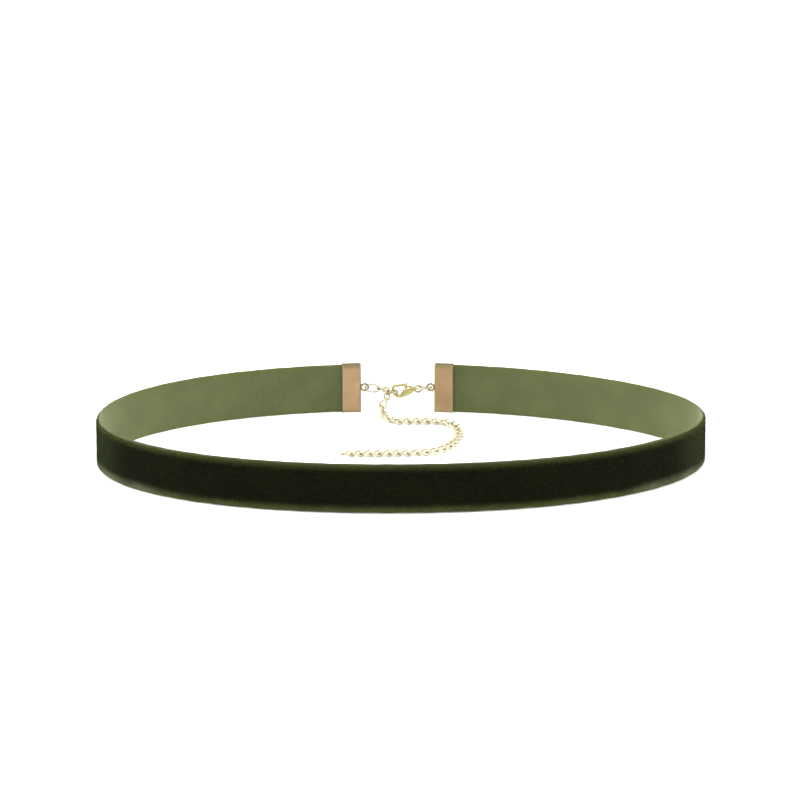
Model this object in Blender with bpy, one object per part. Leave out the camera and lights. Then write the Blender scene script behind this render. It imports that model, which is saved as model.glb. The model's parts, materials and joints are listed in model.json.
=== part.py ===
"""Velvet ribbon choker closed by a lobster clasp, with its extender chain lying inside the loop.

Frame: metres, +Z up, the ribbon stands on its lower edge at z = 0, +Y points to the clasp.
"""

import math

import bmesh
import bpy
import numpy as np
from mathutils import Matrix, Vector

NAME = "velvet_ribbon_choker"
MM = 0.001

# Plan of the loop, measured on the outside of the pile
HALF_WIDTH = 75.8 * MM
HALF_DEPTH = 38.0 * MM
DEPTH_SINE = 0.98994
PLAN_CENTRE = (0.48 * MM, 1.11 * MM)
# Columns: order, share of half width on cosine and sine, share of half depth on cosine and sine
PLAN_HARMONICS = (
    (2, -0.0025, 0.0110, 0.0027, -0.0026),
    (3, -0.0045, 0.0095, -0.0047, -0.0033),
    (4, 0.0099, -0.0140, 0.0197, 0.0062),
)
PLAN_SAMPLES = 7200

# Ribbon
RIBBON_WIDTH = 12.7 * MM
BASE_THICKNESS = 0.50 * MM
PILE_THICKNESS = 0.70 * MM
PINCHED_PILE = 0.25 * MM
SELVAGE_WIDTH = 0.90 * MM
PILE_ROUND = 0.18 * MM
PINCH_RAMP = 1.6 * MM
PINCH_PAST_CRIMP = 0.2 * MM
RIBBON_STATIONS = 150

# Crimps
CRIMP_LENGTH = 4.9 * MM
CRIMP_HEIGHT = 12.6 * MM
CRIMP_PLATE = 0.40 * MM
CRIMP_CLEARANCE = 0.10 * MM
CRIMP_LIP = 0.14 * MM
CRIMP_LIP_LENGTH = 0.50 * MM
CRIMP_SLOT_HALF = (BASE_THICKNESS + PINCHED_PILE) / 2.0 + CRIMP_CLEARANCE
CRIMP_MIDDLE_OFFSET = (PINCHED_PILE - BASE_THICKNESS) / 2.0 - PILE_THICKNESS
EYE_REACH = 0.95 * MM
EYE_RADIUS = 1.15 * MM
EYE_HOLE_RADIUS = 0.65 * MM
EYE_PLATE = 0.50 * MM
# How far the slope of the plan brings the fold back towards the eye
FOLD_SET_BACK = 0.09 * MM

# Closure: its line runs through both eyes, and x is laid out from where the left ring holds the chain
CLOSURE_SET_IN = 0.033 * MM
LEFT_HOLD_X = -5.455 * MM

# Jump rings, both of one wire and size; roll about the first axis and pitch about the second, in degrees
RING_WIRE_RADIUS = 0.29 * MM
RING_RADIUS = 1.80 * MM
LEFT_RING_TURN = (12.0, 4.5)
RIGHT_RING_TURN = (-13.0, -5.9)
RING_SAG = 0.22 * MM
LEFT_EYE_SLACK = 0.16 * MM
RIGHT_EYE_SLACK = 0.20 * MM
TAIL_RING_SLACK = 0.22 * MM

# Clasp, drawn in its own upright plane from the middle of the hook's hollow
CLASP_X = -0.25 * MM
CLASP_SAG = 0.65 * MM
CLASP_REACH = 4.0 * MM
CLASP_HALF_THICKNESS = 0.95 * MM
# Columns: along, up and half width in the plane as shares of the reach,
# then half thickness as a share of the clasp's
CLASP_BODY_STATIONS = (
    (1.0000, 0.0450, 0.0850, 0.358),
    (0.9000, 0.0400, 0.1300, 0.579),
    (0.7750, 0.0150, 0.2000, 0.842),
    (0.6250, -0.0250, 0.2750, 1.000),
    (0.4625, -0.0875, 0.2875, 1.000),
    (0.2875, -0.2575, 0.2125, 0.895),
    (0.1125, -0.3875, 0.1375, 0.695),
    (-0.0875, -0.4100, 0.1200, 0.547),
    (-0.2950, -0.3300, 0.1100, 0.463),
    (-0.4250, -0.1250, 0.1050, 0.411),
    (-0.4425, 0.0875, 0.1025, 0.389),
    (-0.3650, 0.2575, 0.0925, 0.368),
    (-0.2500, 0.3300, 0.0625, 0.295),
    (-0.2000, 0.3400, 0.0300, 0.147),
)
TAIL_RING_PLACE = (1.1375, 0.05)
TAIL_RING_RADIUS = 0.88 * MM
TAIL_RING_WIRE = 0.27 * MM
SLOT_HALF_WIDTH = 0.42 * MM
LEVER_CLEARANCE = 0.09 * MM
LEVER_HALF_THICKNESS = SLOT_HALF_WIDTH - LEVER_CLEARANCE
LEVER_PIVOT = (0.5375, 0.0875)
# Columns: as above, with the half thickness as a share of the lever's
CLASP_LEVER_STATIONS = (
    (0.6300, 0.0550, 0.0550, 0.788),
    (0.5375, 0.0875, 0.1000, 1.000),
    (0.4000, 0.2150, 0.1050, 1.000),
    (0.2250, 0.3075, 0.0975, 1.000),
    (0.0250, 0.3275, 0.0950, 1.000),
    (-0.1250, 0.2575, 0.0750, 0.939),
    (-0.2375, 0.1800, 0.0500, 0.788),
)
THUMB_TAB_STATIONS = (
    (0.3400, 0.2375, 0.0750, 0.848),
    (0.3750, 0.3500, 0.0700, 1.030),
    (0.4050, 0.4375, 0.0650, 1.212),
    (0.4150, 0.4825, 0.0400, 0.909),
)
# The slot's ends along and up, as shares of the clasp's reach
SLOT_ALONG = (0.05, 0.7125)
SLOT_UP = (-0.07, 0.65)
PIN_RADIUS = 0.20 * MM
PIN_PROUD = 0.02 * MM
PIN_CLEARANCE = 0.05 * MM

# Extender chain of twisted curb links
LINK_HALF_LENGTH = 1.55 * MM
LINK_HALF_WIDTH = 1.00 * MM
LINK_TWIST = 0.45 * MM
LINK_WIRE_RADIUS = 0.275 * MM
LINK_PITCH = 2.35 * MM
# Links between the ring and the surface
# Columns: x, out from the closure's line, up from the eyes' middle in mm, yaw, pitch, roll in degrees
HANGING_LINKS = (
    (-4.56, -0.00, -0.56, 0.3, 12.3, -3.7),
    (-2.48, -0.00, -1.29, 3.4, -2.4, -30.6),
    (-3.62, -0.86, -1.42, -81.4, 66.8, -55.4),
    (-4.25, -1.90, -3.45, -134.0, 50.7, -94.4),
    (-4.52, -3.43, -4.98, -84.5, 12.3, -48.3),
    (-4.17, -5.81, -5.36, -79.1, 5.5, -29.6),
    (-3.16, -7.91, -5.51, -52.6, 4.3, -15.9),
    (-1.35, -9.26, -5.61, -23.6, 1.8, -2.7),
    (0.98, -9.60, -5.61, -0.7, -0.0, 0.1),
)
# Middle line of the chain on the surface, on from the last hanging link
# Columns: x, out from the closure's line in mm
FLOOR_ROUTE = (
    (2.25, -9.60),
    (6.25, -9.45),
    (9.45, -9.71),
    (11.90, -11.01),
    (13.80, -13.96),
    (14.55, -18.01),
    (13.98, -23.06),
    (12.35, -27.36),
    (10.02, -30.33),
    (6.95, -32.11),
    (2.25, -32.87),
    (-2.85, -33.02),
    (-7.85, -33.12),
    (-15.15, -33.27),
)
FLOOR_LINK_HEIGHT = 0.74 * MM
# Length of chain over which it comes down to lie on the surface
FLOOR_SETTLE = 14.0 * MM

# Finishes as colour, roughness and metallic
FINISHES = {
    "velvet": ((0.016, 0.018, 0.006, 1.0), 0.95, 0.0),
    "rose_gold": ((0.60, 0.38, 0.24, 1.0), 0.32, 1.0),
    "yellow_gold": ((0.72, 0.58, 0.30, 1.0), 0.28, 1.0),
    "pale_gold": ((0.78, 0.68, 0.46, 1.0), 0.28, 1.0),
}


def clear_scene():
    """Remove everything that the start-up file holds."""
    for item in list(bpy.data.objects):
        bpy.data.objects.remove(item, do_unlink=True)


def make_collections():
    """Make the part's collection and the cutters' collection."""
    parts = bpy.data.collections.new(NAME)
    cutters = bpy.data.collections.new("cutters")
    for collection in (parts, cutters):
        bpy.context.scene.collection.children.link(collection)
    cutters.hide_render = True
    return parts, cutters


def finish(name):
    """Return one named material, made once."""
    found = bpy.data.materials.get(name)
    if found:
        return found
    colour, roughness, metallic = FINISHES[name]
    material = bpy.data.materials.new(name)
    material.use_nodes = True
    shader = material.node_tree.nodes["Principled BSDF"]
    shader.inputs["Base Color"].default_value = colour
    shader.inputs["Roughness"].default_value = roughness
    shader.inputs["Metallic"].default_value = metallic
    material.diffuse_color = colour
    return material


def mesh_object(name, vertices, faces, collection, material=None, smooth=True):
    """Build one closed mesh object with faces outward."""
    mesh = bpy.data.meshes.new(name)
    mesh.from_pydata([tuple(v) for v in vertices], [], faces)
    work = bmesh.new()
    work.from_mesh(mesh)
    bmesh.ops.remove_doubles(work, verts=work.verts, dist=0.000001)
    bmesh.ops.recalc_face_normals(work, faces=work.faces)
    work.to_mesh(mesh)
    work.free()
    for polygon in mesh.polygons:
        polygon.use_smooth = smooth
    item = bpy.data.objects.new(name, mesh)
    collection.objects.link(item)
    if material:
        mesh.materials.append(finish(material))
    return item


def tube_faces(rings, sides, closed):
    """Return the faces of a tube of rings, capped when it is open."""
    faces = []
    for ring in range(rings if closed else rings - 1):
        after = (ring + 1) % rings
        for side in range(sides):
            beside = (side + 1) % sides
            here = ring * sides
            there = after * sides
            faces.append((here + side, here + beside, there + beside, there + side))
    if not closed:
        faces.append(tuple(reversed(range(sides))))
        faces.append(tuple(range((rings - 1) * sides, rings * sides)))
    return faces


def boolean(target, tool, operation):
    """Apply one exact Boolean and keep the result as plain mesh."""
    modifier = target.modifiers.new("cut", "BOOLEAN")
    modifier.operation = operation
    modifier.solver = "EXACT"
    modifier.object = tool
    graph = bpy.context.evaluated_depsgraph_get()
    result = bpy.data.meshes.new_from_object(target.evaluated_get(graph))
    target.modifiers.clear()
    old = target.data
    target.data = result
    bpy.data.meshes.remove(old)
    tool.display_type = "WIRE"
    tool.hide_render = True


def plan_table():
    """Return plan points, their outward normals and the running length of the loop's outside."""
    angle = np.linspace(0.0, 2.0 * math.pi, PLAN_SAMPLES, endpoint=False)
    x = np.cos(angle)
    y = DEPTH_SINE * np.sin(angle)
    dx = -np.sin(angle)
    dy = DEPTH_SINE * np.cos(angle)
    for order, x_cosine, x_sine, y_cosine, y_sine in PLAN_HARMONICS:
        cosine = np.cos(order * angle)
        sine = np.sin(order * angle)
        x = x + x_cosine * cosine + x_sine * sine
        y = y + y_cosine * cosine + y_sine * sine
        dx = dx + order * (x_sine * cosine - x_cosine * sine)
        dy = dy + order * (y_sine * cosine - y_cosine * sine)
    points = np.stack([x * HALF_WIDTH - PLAN_CENTRE[0], y * HALF_DEPTH - PLAN_CENTRE[1]], axis=1)
    tangents = np.stack([dx * HALF_WIDTH, dy * HALF_DEPTH], axis=1)
    tangents /= np.linalg.norm(tangents, axis=1)[:, None]
    normals = np.stack([tangents[:, 1], -tangents[:, 0]], axis=1)
    steps = np.linalg.norm(np.roll(points, -1, axis=0) - points, axis=1)
    length = np.concatenate([[0.0], np.cumsum(steps)])
    return points, normals, length


def index_at(points, x_value):
    """Return the sample on the back half of the plan whose x is nearest to the value."""
    back = points[:, 1] > 0.0
    distance = np.where(back, np.abs(points[:, 0] - x_value), 1.0)
    return int(np.argmin(distance))


def plan_at(table, distance):
    """Return the point and outward normal at a running length."""
    points, normals, length = table
    total = length[-1]
    place = distance % total
    closed_points = np.vstack([points, points[:1]])
    closed_normals = np.vstack([normals, normals[:1]])
    point = np.array([np.interp(place, length, closed_points[:, axis]) for axis in range(2)])
    normal = np.array([np.interp(place, length, closed_normals[:, axis]) for axis in range(2)])
    return point, normal / np.linalg.norm(normal)


def ring_places():
    """Return the x of the left and right rings' middles and of the two eyes that they hang in."""
    left_span = RING_RADIUS * math.cos(math.radians(LEFT_RING_TURN[1]))
    right_span = RING_RADIUS * math.cos(math.radians(RIGHT_RING_TURN[1]))
    left_ring = LEFT_HOLD_X - left_span
    right_ring = CLASP_X + TAIL_RING_PLACE[0] * CLASP_REACH - TAIL_RING_SLACK + right_span
    left_eye = left_ring - left_span - LEFT_EYE_SLACK
    right_eye = right_ring + right_span - RIGHT_EYE_SLACK
    return left_ring, right_ring, left_eye, right_eye


def fold_lengths(table):
    """Return the running lengths of the two crimps' folds, left first, with the front between them."""
    points, _, length = table
    _, _, left_eye, right_eye = ring_places()
    reach = EYE_REACH + FOLD_SET_BACK
    left = length[index_at(points, left_eye - reach)]
    right = length[index_at(points, right_eye + reach)] + length[-1]
    return left, right


def closure_line(table):
    """Return the y and z of the line that the rings, clasp and chain hang from."""
    eyes = [crimp_frame(table, side) @ Vector((EYE_REACH, 0.0, 0.0)) for side in ("left", "right")]
    middle = (eyes[0] + eyes[1]) / 2.0
    return middle.y - CLOSURE_SET_IN, middle.z


def make_ribbon(table, parts):
    """Loft the ribbon: woven base with bare selvages and a pile that the crimps pinch flat."""
    left, right = fold_lengths(table)
    inset = CRIMP_PLATE + CRIMP_CLEARANCE
    start = left + inset
    end = right - inset
    thickness = BASE_THICKNESS + PILE_THICKNESS
    stations = list(np.linspace(start, end, RIBBON_STATIONS))
    pinch_end = CRIMP_LENGTH - inset + PINCH_PAST_CRIMP
    for extra in (pinch_end, pinch_end + PINCH_RAMP * 0.5, pinch_end + PINCH_RAMP):
        stations.extend((start + extra, end - extra))
    stations.sort()
    vertices = []
    sides = 10
    for place in stations:
        point, normal = plan_at(table, place)
        from_end = min(place - start, end - place)
        share = min(max((from_end - pinch_end) / PINCH_RAMP, 0.0), 1.0)
        share = share * share * (3.0 - 2.0 * share)
        pile = PINCHED_PILE + (PILE_THICKNESS - PINCHED_PILE) * share
        base = BASE_THICKNESS - thickness
        top = RIBBON_WIDTH
        section = (
            (-thickness, 0.0),
            (base, 0.0),
            (base, SELVAGE_WIDTH),
            (base + pile - PILE_ROUND, SELVAGE_WIDTH),
            (base + pile, SELVAGE_WIDTH + PILE_ROUND),
            (base + pile, top - SELVAGE_WIDTH - PILE_ROUND),
            (base + pile - PILE_ROUND, top - SELVAGE_WIDTH),
            (base, top - SELVAGE_WIDTH),
            (base, top),
            (-thickness, top),
        )
        for outward, height in section:
            vertices.append((point[0] + normal[0] * outward, point[1] + normal[1] * outward, height))
    faces = tube_faces(len(stations), sides, closed=False)
    return mesh_object("velvet_ribbon", vertices, faces, parts, "velvet", smooth=False)


def crimp_frame(table, side):
    """Return the crimp's placing: first axis to the clasp, second axis outward, third up."""
    left, right = fold_lengths(table)
    half = CRIMP_LENGTH / 2.0
    point, normal = plan_at(table, left + half if side == "left" else right - half)
    outward = Vector((normal[0], normal[1], 0.0))
    up = Vector((0.0, 0.0, 1.0))
    along = outward.cross(up) if side == "left" else up.cross(outward)
    origin = Vector((point[0], point[1], RIBBON_WIDTH / 2.0)) + outward * CRIMP_MIDDLE_OFFSET + along * half
    matrix = Matrix.Identity(4)
    for column, axis in enumerate((along, outward, up)):
        for row in range(3):
            matrix[row][column] = axis[row]
    for row in range(3):
        matrix[row][3] = origin[row]
    return matrix


def make_crimp(table, side, parts, cutters):
    """Build one folded crimp with its eye."""
    inner = CRIMP_SLOT_HALF
    outer = inner + CRIMP_PLATE
    lip = outer + CRIMP_LIP
    back = -CRIMP_LENGTH
    fold = CRIMP_PLATE
    outer_line = [
        (back, lip - fold * 0.15),
        (back + fold * 0.30, lip),
        (back + CRIMP_LIP_LENGTH * 0.7, lip),
        (back + CRIMP_LIP_LENGTH, outer),
        (-fold * 1.05, outer),
        (-fold * 0.35, outer - fold * 0.30),
        (0.0, outer - fold),
    ]
    inner_line = [
        (back, inner),
        (back + fold * 0.30, inner),
        (back + CRIMP_LIP_LENGTH * 0.7, inner),
        (back + CRIMP_LIP_LENGTH, inner),
        (-fold * 1.25, inner),
        (-fold, inner),
        (-fold, inner * 0.4),
    ]
    outer_line += [(u, -v) for u, v in reversed(outer_line)]
    inner_line += [(u, -v) for u, v in reversed(inner_line)]
    count = len(outer_line)
    half = CRIMP_HEIGHT / 2.0
    vertices = [(u, v, -half) for u, v in outer_line] + [(u, v, -half) for u, v in inner_line]
    vertices += [(u, v, half) for u, v in outer_line] + [(u, v, half) for u, v in inner_line]
    faces = []
    for step in range(count - 1):
        after = step + 1
        faces.append((step, after, count + after, count + step))
        faces.append((2 * count + step, 3 * count + step, 3 * count + after, 2 * count + after))
        faces.append((step, 2 * count + step, 2 * count + after, after))
        faces.append((count + step, count + after, 3 * count + after, 3 * count + step))
    faces.append((0, count, 3 * count, 2 * count))
    faces.append((count - 1, 3 * count - 1, 4 * count - 1, 2 * count - 1))
    plate = mesh_object("crimp_" + side, vertices, faces, parts, "rose_gold", smooth=False)
    eye = disc_ring("crimp_eye_" + side, EYE_REACH, EYE_RADIUS, EYE_HOLE_RADIUS, EYE_PLATE, cutters)
    boolean(plate, eye, "UNION")
    placing = crimp_frame(table, side)
    plate.data.transform(placing)
    if placing.determinant() < 0.0:
        plate.data.flip_normals()
    return plate


def disc_ring(name, centre, radius, hole, thickness, collection):
    """Build a flat ring standing in the plane of the first and third axes."""
    segments = 20
    rim = thickness * 0.24
    half = thickness / 2.0
    section = (
        (hole, -half),
        (radius - rim, -half),
        (radius, -half + rim),
        (radius, half - rim),
        (radius - rim, half),
        (hole, half),
    )
    vertices = []
    for step in range(segments):
        angle = 2.0 * math.pi * (step + 0.5) / segments
        for distance, across in section:
            vertices.append((centre + distance * math.cos(angle), across, distance * math.sin(angle)))
    return mesh_object(name, vertices, tube_faces(segments, len(section), closed=True), collection)


def make_ring(name, centre, turns, parts):
    """Build one jump ring, rolled and pitched a little out of level."""
    segments = 24
    sides = 8
    roll, pitch = (math.radians(value) for value in turns)
    turn = Matrix.Rotation(pitch, 3, "Y") @ Matrix.Rotation(roll, 3, "X")
    vertices = []
    for step in range(segments):
        angle = 2.0 * math.pi * step / segments
        outward = Vector((math.cos(angle), math.sin(angle), 0.0))
        for side in range(sides):
            around = 2.0 * math.pi * side / sides
            local = outward * (RING_RADIUS + RING_WIRE_RADIUS * math.cos(around))
            local.z = RING_WIRE_RADIUS * math.sin(around)
            vertices.append(turn @ local + Vector(centre))
    return mesh_object(name, vertices, tube_faces(segments, sides, closed=True), parts, "yellow_gold")


def smooth_stations(stations, steps):
    """Return a smooth run through the stations' rows."""
    rows = np.array(stations)
    rows = np.vstack([2.0 * rows[0] - rows[1], rows, 2.0 * rows[-1] - rows[-2]])
    out = []
    for place in range(1, len(rows) - 2):
        before, first, second, after = rows[place - 1:place + 3]
        for step in range(steps):
            t = step / steps
            out.append(0.5 * (2.0 * first + (second - before) * t
                              + (2.0 * before - 5.0 * first + 4.0 * second - after) * t ** 2
                              + (3.0 * first - before - 3.0 * second + after) * t ** 3))
    out.append(rows[-2])
    return np.array(out)


def plane_sweep(name, stations, half_thickness, steps, sides, collection, material=None):
    """Sweep a rounded section along stations that lie in the clasp's plane."""
    sizes = np.array((CLASP_REACH, CLASP_REACH, CLASP_REACH, half_thickness))
    rows = smooth_stations(stations, steps) * sizes
    slopes = np.gradient(rows[:, :2], axis=0)
    vertices = []
    for row, slope in zip(rows, slopes):
        slope = slope / np.linalg.norm(slope)
        across = np.array([-slope[1], slope[0]])
        for side in range(sides):
            around = 2.0 * math.pi * (side + 0.5) / sides
            cosine = math.cos(around)
            sine = math.sin(around)
            wide = math.copysign(abs(cosine) ** 0.8, cosine) * row[2]
            deep = math.copysign(abs(sine) ** 0.8, sine) * row[3]
            vertices.append((row[0] + across[0] * wide, deep, row[1] + across[1] * wide))
    return mesh_object(name, vertices, tube_faces(len(rows), sides, closed=False), collection, material)


def box(name, low, high, collection):
    """Build a box from its two corners."""
    vertices = [(x, y, z) for x in (low[0], high[0]) for y in (low[1], high[1]) for z in (low[2], high[2])]
    faces = [(0, 1, 3, 2), (4, 6, 7, 5), (0, 4, 5, 1), (2, 3, 7, 6), (0, 2, 6, 4), (1, 5, 7, 3)]
    return mesh_object(name, vertices, faces, collection, smooth=False)


def cross_pin(name, radius, half_length, collection, material=None):
    """Build a round pin through the lever's pivot, along the second axis."""
    sides = 12
    vertices = []
    for across in (-half_length, half_length):
        for side in range(sides):
            angle = 2.0 * math.pi * side / sides
            vertices.append((
                LEVER_PIVOT[0] * CLASP_REACH + radius * math.cos(angle),
                across,
                LEVER_PIVOT[1] * CLASP_REACH + radius * math.sin(angle),
            ))
    return mesh_object(name, vertices, tube_faces(2, sides, closed=False), collection, material)


def make_clasp(line, parts, cutters):
    """Build the clasp's body, its lever and the pin between them."""
    body = plane_sweep("clasp_body", CLASP_BODY_STATIONS, CLASP_HALF_THICKNESS, 2, 12, parts, "yellow_gold")
    boolean(body, make_tail_ring(cutters), "UNION")
    slot = box(
        "lever_slot",
        (SLOT_ALONG[0] * CLASP_REACH, -SLOT_HALF_WIDTH, SLOT_UP[0] * CLASP_REACH),
        (SLOT_ALONG[1] * CLASP_REACH, SLOT_HALF_WIDTH, SLOT_UP[1] * CLASP_REACH),
        cutters,
    )
    boolean(body, slot, "DIFFERENCE")
    pin_half_length = CLASP_HALF_THICKNESS + PIN_PROUD
    hole = cross_pin("pin_hole", PIN_RADIUS + PIN_CLEARANCE, 3.0 * pin_half_length, cutters)
    boolean(body, hole, "DIFFERENCE")
    lever = plane_sweep("clasp_lever", CLASP_LEVER_STATIONS, LEVER_HALF_THICKNESS, 3, 10, parts, "yellow_gold")
    tab = plane_sweep("thumb_tab", THUMB_TAB_STATIONS, LEVER_HALF_THICKNESS, 2, 8, cutters)
    boolean(lever, tab, "UNION")
    boolean(lever, hole, "DIFFERENCE")
    pin = cross_pin("clasp_pin", PIN_RADIUS, pin_half_length, parts, "yellow_gold")
    origin = Vector((CLASP_X, line[0], line[1] - CLASP_SAG))
    for item in (body, lever, pin):
        item.data.transform(Matrix.Translation(origin))
    pivot = origin + Vector((LEVER_PIVOT[0] * CLASP_REACH, 0.0, LEVER_PIVOT[1] * CLASP_REACH))
    lever.data.transform(Matrix.Translation(-pivot))
    lever.location = pivot


def make_tail_ring(collection):
    """Build the ring at the clasp's tail."""
    segments = 20
    sides = 8
    vertices = []
    for step in range(segments):
        angle = 2.0 * math.pi * (step + 0.5) / segments
        for side in range(sides):
            around = 2.0 * math.pi * side / sides
            distance = TAIL_RING_RADIUS + TAIL_RING_WIRE * math.cos(around)
            vertices.append((
                TAIL_RING_PLACE[0] * CLASP_REACH + distance * math.cos(angle),
                TAIL_RING_WIRE * math.sin(around),
                TAIL_RING_PLACE[1] * CLASP_REACH + distance * math.sin(angle),
            ))
    return mesh_object("tail_ring", vertices, tube_faces(segments, sides, closed=True), collection)


def link_mesh():
    """Build the shared mesh of one twisted curb link, long side on the first axis."""
    segments = 16
    sides = 6
    vertices = []
    for step in range(segments):
        angle = 2.0 * math.pi * step / segments
        centre = Vector((
            LINK_HALF_LENGTH * math.cos(angle),
            LINK_HALF_WIDTH * math.sin(angle),
            LINK_TWIST * math.sin(2.0 * angle),
        ))
        slope = Vector((
            -LINK_HALF_LENGTH * math.sin(angle),
            LINK_HALF_WIDTH * math.cos(angle),
            2.0 * LINK_TWIST * math.cos(2.0 * angle),
        )).normalized()
        outward = Vector((math.cos(angle) * LINK_HALF_WIDTH, math.sin(angle) * LINK_HALF_LENGTH, 0.0))
        outward = (outward - slope * outward.dot(slope)).normalized()
        upward = slope.cross(outward)
        for side in range(sides):
            around = 2.0 * math.pi * side / sides
            vertices.append(centre + (outward * math.cos(around) + upward * math.sin(around)) * LINK_WIRE_RADIUS)
    holder = bpy.data.collections.new("link_source")
    source = mesh_object("chain_link", vertices, tube_faces(segments, sides, closed=True), holder, "pale_gold")
    return source.data


def route_places(start, line):
    """Return place, heading and slope of the links that lie on the surface, one pitch apart."""
    rows = [(start.x, start.y)] + [(x * MM, line[0] + out * MM) for x, out in FLOOR_ROUTE]
    route = smooth_stations(rows, 40)
    places = []
    last = route[0]
    drop = start.z - FLOOR_LINK_HEIGHT
    for step in range(1, len(route)):
        if np.linalg.norm(route[step] - last) >= LINK_PITCH:
            chord = route[step] - last
            last = last + chord * (LINK_PITCH / np.linalg.norm(chord))
            ahead = route[min(step + 8, len(route) - 1)] - route[max(step - 8, 0)]
            share = min(LINK_PITCH * (len(places) + 1) / FLOOR_SETTLE, 1.0)
            height = FLOOR_LINK_HEIGHT + drop * (1.0 - share) ** 2
            slope = math.atan2(2.0 * drop * (1.0 - share), FLOOR_SETTLE)
            places.append((Vector((last[0], last[1], height)), math.atan2(ahead[1], ahead[0]), slope))
    return places


def make_chain(line, parts):
    """Place every link of the extender chain."""
    mesh = link_mesh()
    poses = []
    for x, out, up, yaw, pitch, roll in HANGING_LINKS:
        turn = (
            Matrix.Rotation(math.radians(yaw), 4, "Z")
            @ Matrix.Rotation(math.radians(pitch), 4, "Y")
            @ Matrix.Rotation(math.radians(roll), 4, "X")
        )
        poses.append(Matrix.Translation((x * MM, line[0] + out * MM, line[1] + up * MM)) @ turn)
    for place, heading, slope in route_places(poses[-1].translation.copy(), line):
        turn = Matrix.Rotation(heading, 4, "Z") @ Matrix.Rotation(slope, 4, "Y")
        poses.append(Matrix.Translation(place) @ turn)
    for number, pose in enumerate(poses, start=1):
        link = bpy.data.objects.new(f"chain_link_{number:02d}", mesh)
        link.matrix_world = pose
        parts.objects.link(link)
    return len(poses)


def main():
    """Build the whole choker."""
    clear_scene()
    parts, cutters = make_collections()
    table = plan_table()
    make_ribbon(table, parts)
    for side in ("left", "right"):
        make_crimp(table, side, parts, cutters)
    line = closure_line(table)
    left_ring, right_ring, _, _ = ring_places()
    make_ring("jump_ring_left", (left_ring, line[0], line[1] - RING_SAG), LEFT_RING_TURN, parts)
    make_ring("jump_ring_right", (right_ring, line[0], line[1] - RING_SAG), RIGHT_RING_TURN, parts)
    make_clasp(line, parts, cutters)
    count = make_chain(line, parts)
    print("chain links:", count)


main()
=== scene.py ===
"""Dressed model of a velvet ribbon choker with its lobster clasp and extender chain.

Frame: metres, +Z up, the ribbon stands on its lower edge at z = 0, +Y points to the clasp.
"""

from __future__ import annotations

import json
import logging
import math
from dataclasses import dataclass
from enum import Enum

import bmesh
import bpy
import numpy as np
from mathutils import Matrix, Vector

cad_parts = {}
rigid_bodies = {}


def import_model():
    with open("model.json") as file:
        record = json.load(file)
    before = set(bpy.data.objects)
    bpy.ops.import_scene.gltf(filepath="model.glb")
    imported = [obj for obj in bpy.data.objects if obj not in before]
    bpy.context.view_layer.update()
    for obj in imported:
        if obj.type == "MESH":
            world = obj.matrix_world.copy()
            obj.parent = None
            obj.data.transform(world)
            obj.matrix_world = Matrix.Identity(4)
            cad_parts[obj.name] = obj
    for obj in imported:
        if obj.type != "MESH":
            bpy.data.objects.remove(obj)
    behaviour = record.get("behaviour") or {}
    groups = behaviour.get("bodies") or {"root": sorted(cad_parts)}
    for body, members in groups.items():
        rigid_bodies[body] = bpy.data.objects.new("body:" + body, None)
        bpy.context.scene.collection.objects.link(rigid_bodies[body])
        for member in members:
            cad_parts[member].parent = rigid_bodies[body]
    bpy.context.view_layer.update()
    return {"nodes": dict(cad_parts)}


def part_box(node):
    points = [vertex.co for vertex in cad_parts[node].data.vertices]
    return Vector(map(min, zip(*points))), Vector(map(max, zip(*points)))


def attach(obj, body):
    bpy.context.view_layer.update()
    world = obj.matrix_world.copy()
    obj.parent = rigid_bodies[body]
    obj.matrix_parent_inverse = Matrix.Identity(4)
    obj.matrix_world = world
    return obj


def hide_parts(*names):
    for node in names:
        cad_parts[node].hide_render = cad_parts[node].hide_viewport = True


LOG = logging.getLogger("choker")
MM = 0.001
THREAD_SWELL = (0.45, 0.55)
SMUDGE_RANGE = (0.35, 0.68)
HAIRLINE_RANGE = (0.46, 0.60)
HAIRLINE_STRETCH = (1.0, 1.0, 0.09)
Colour = tuple[float, float, float]
Place = tuple[float, float, float]
Pair = tuple[float, float]
Rows = list[Pair]
Material = bpy.types.Material
Node = bpy.types.Node
Piece = bpy.types.Object
Socket = bpy.types.NodeSocket
Tree = bpy.types.NodeTree


class Body(Enum):
    """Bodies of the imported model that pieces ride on."""

    CHOKER = "choker"
    LEVER = "lever"


class Slot(Enum):
    """Material slots of the record."""

    VELVET = "velvet"
    CRIMP = "crimp_metal"
    RING = "ring_metal"
    CLASP = "clasp_metal"
    CHAIN = "chain_metal"


class Side(Enum):
    """The two ends of the ribbon, seen from the front."""

    LEFT = "left"
    RIGHT = "right"


class Kind(Enum):
    """Socket types of the node groups."""

    FLOAT = "NodeSocketFloat"
    VECTOR = "NodeSocketVector"
    WHOLE = "NodeSocketInt"
    GEOMETRY = "NodeSocketGeometry"
    FINISH = "NodeSocketMaterial"


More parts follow.
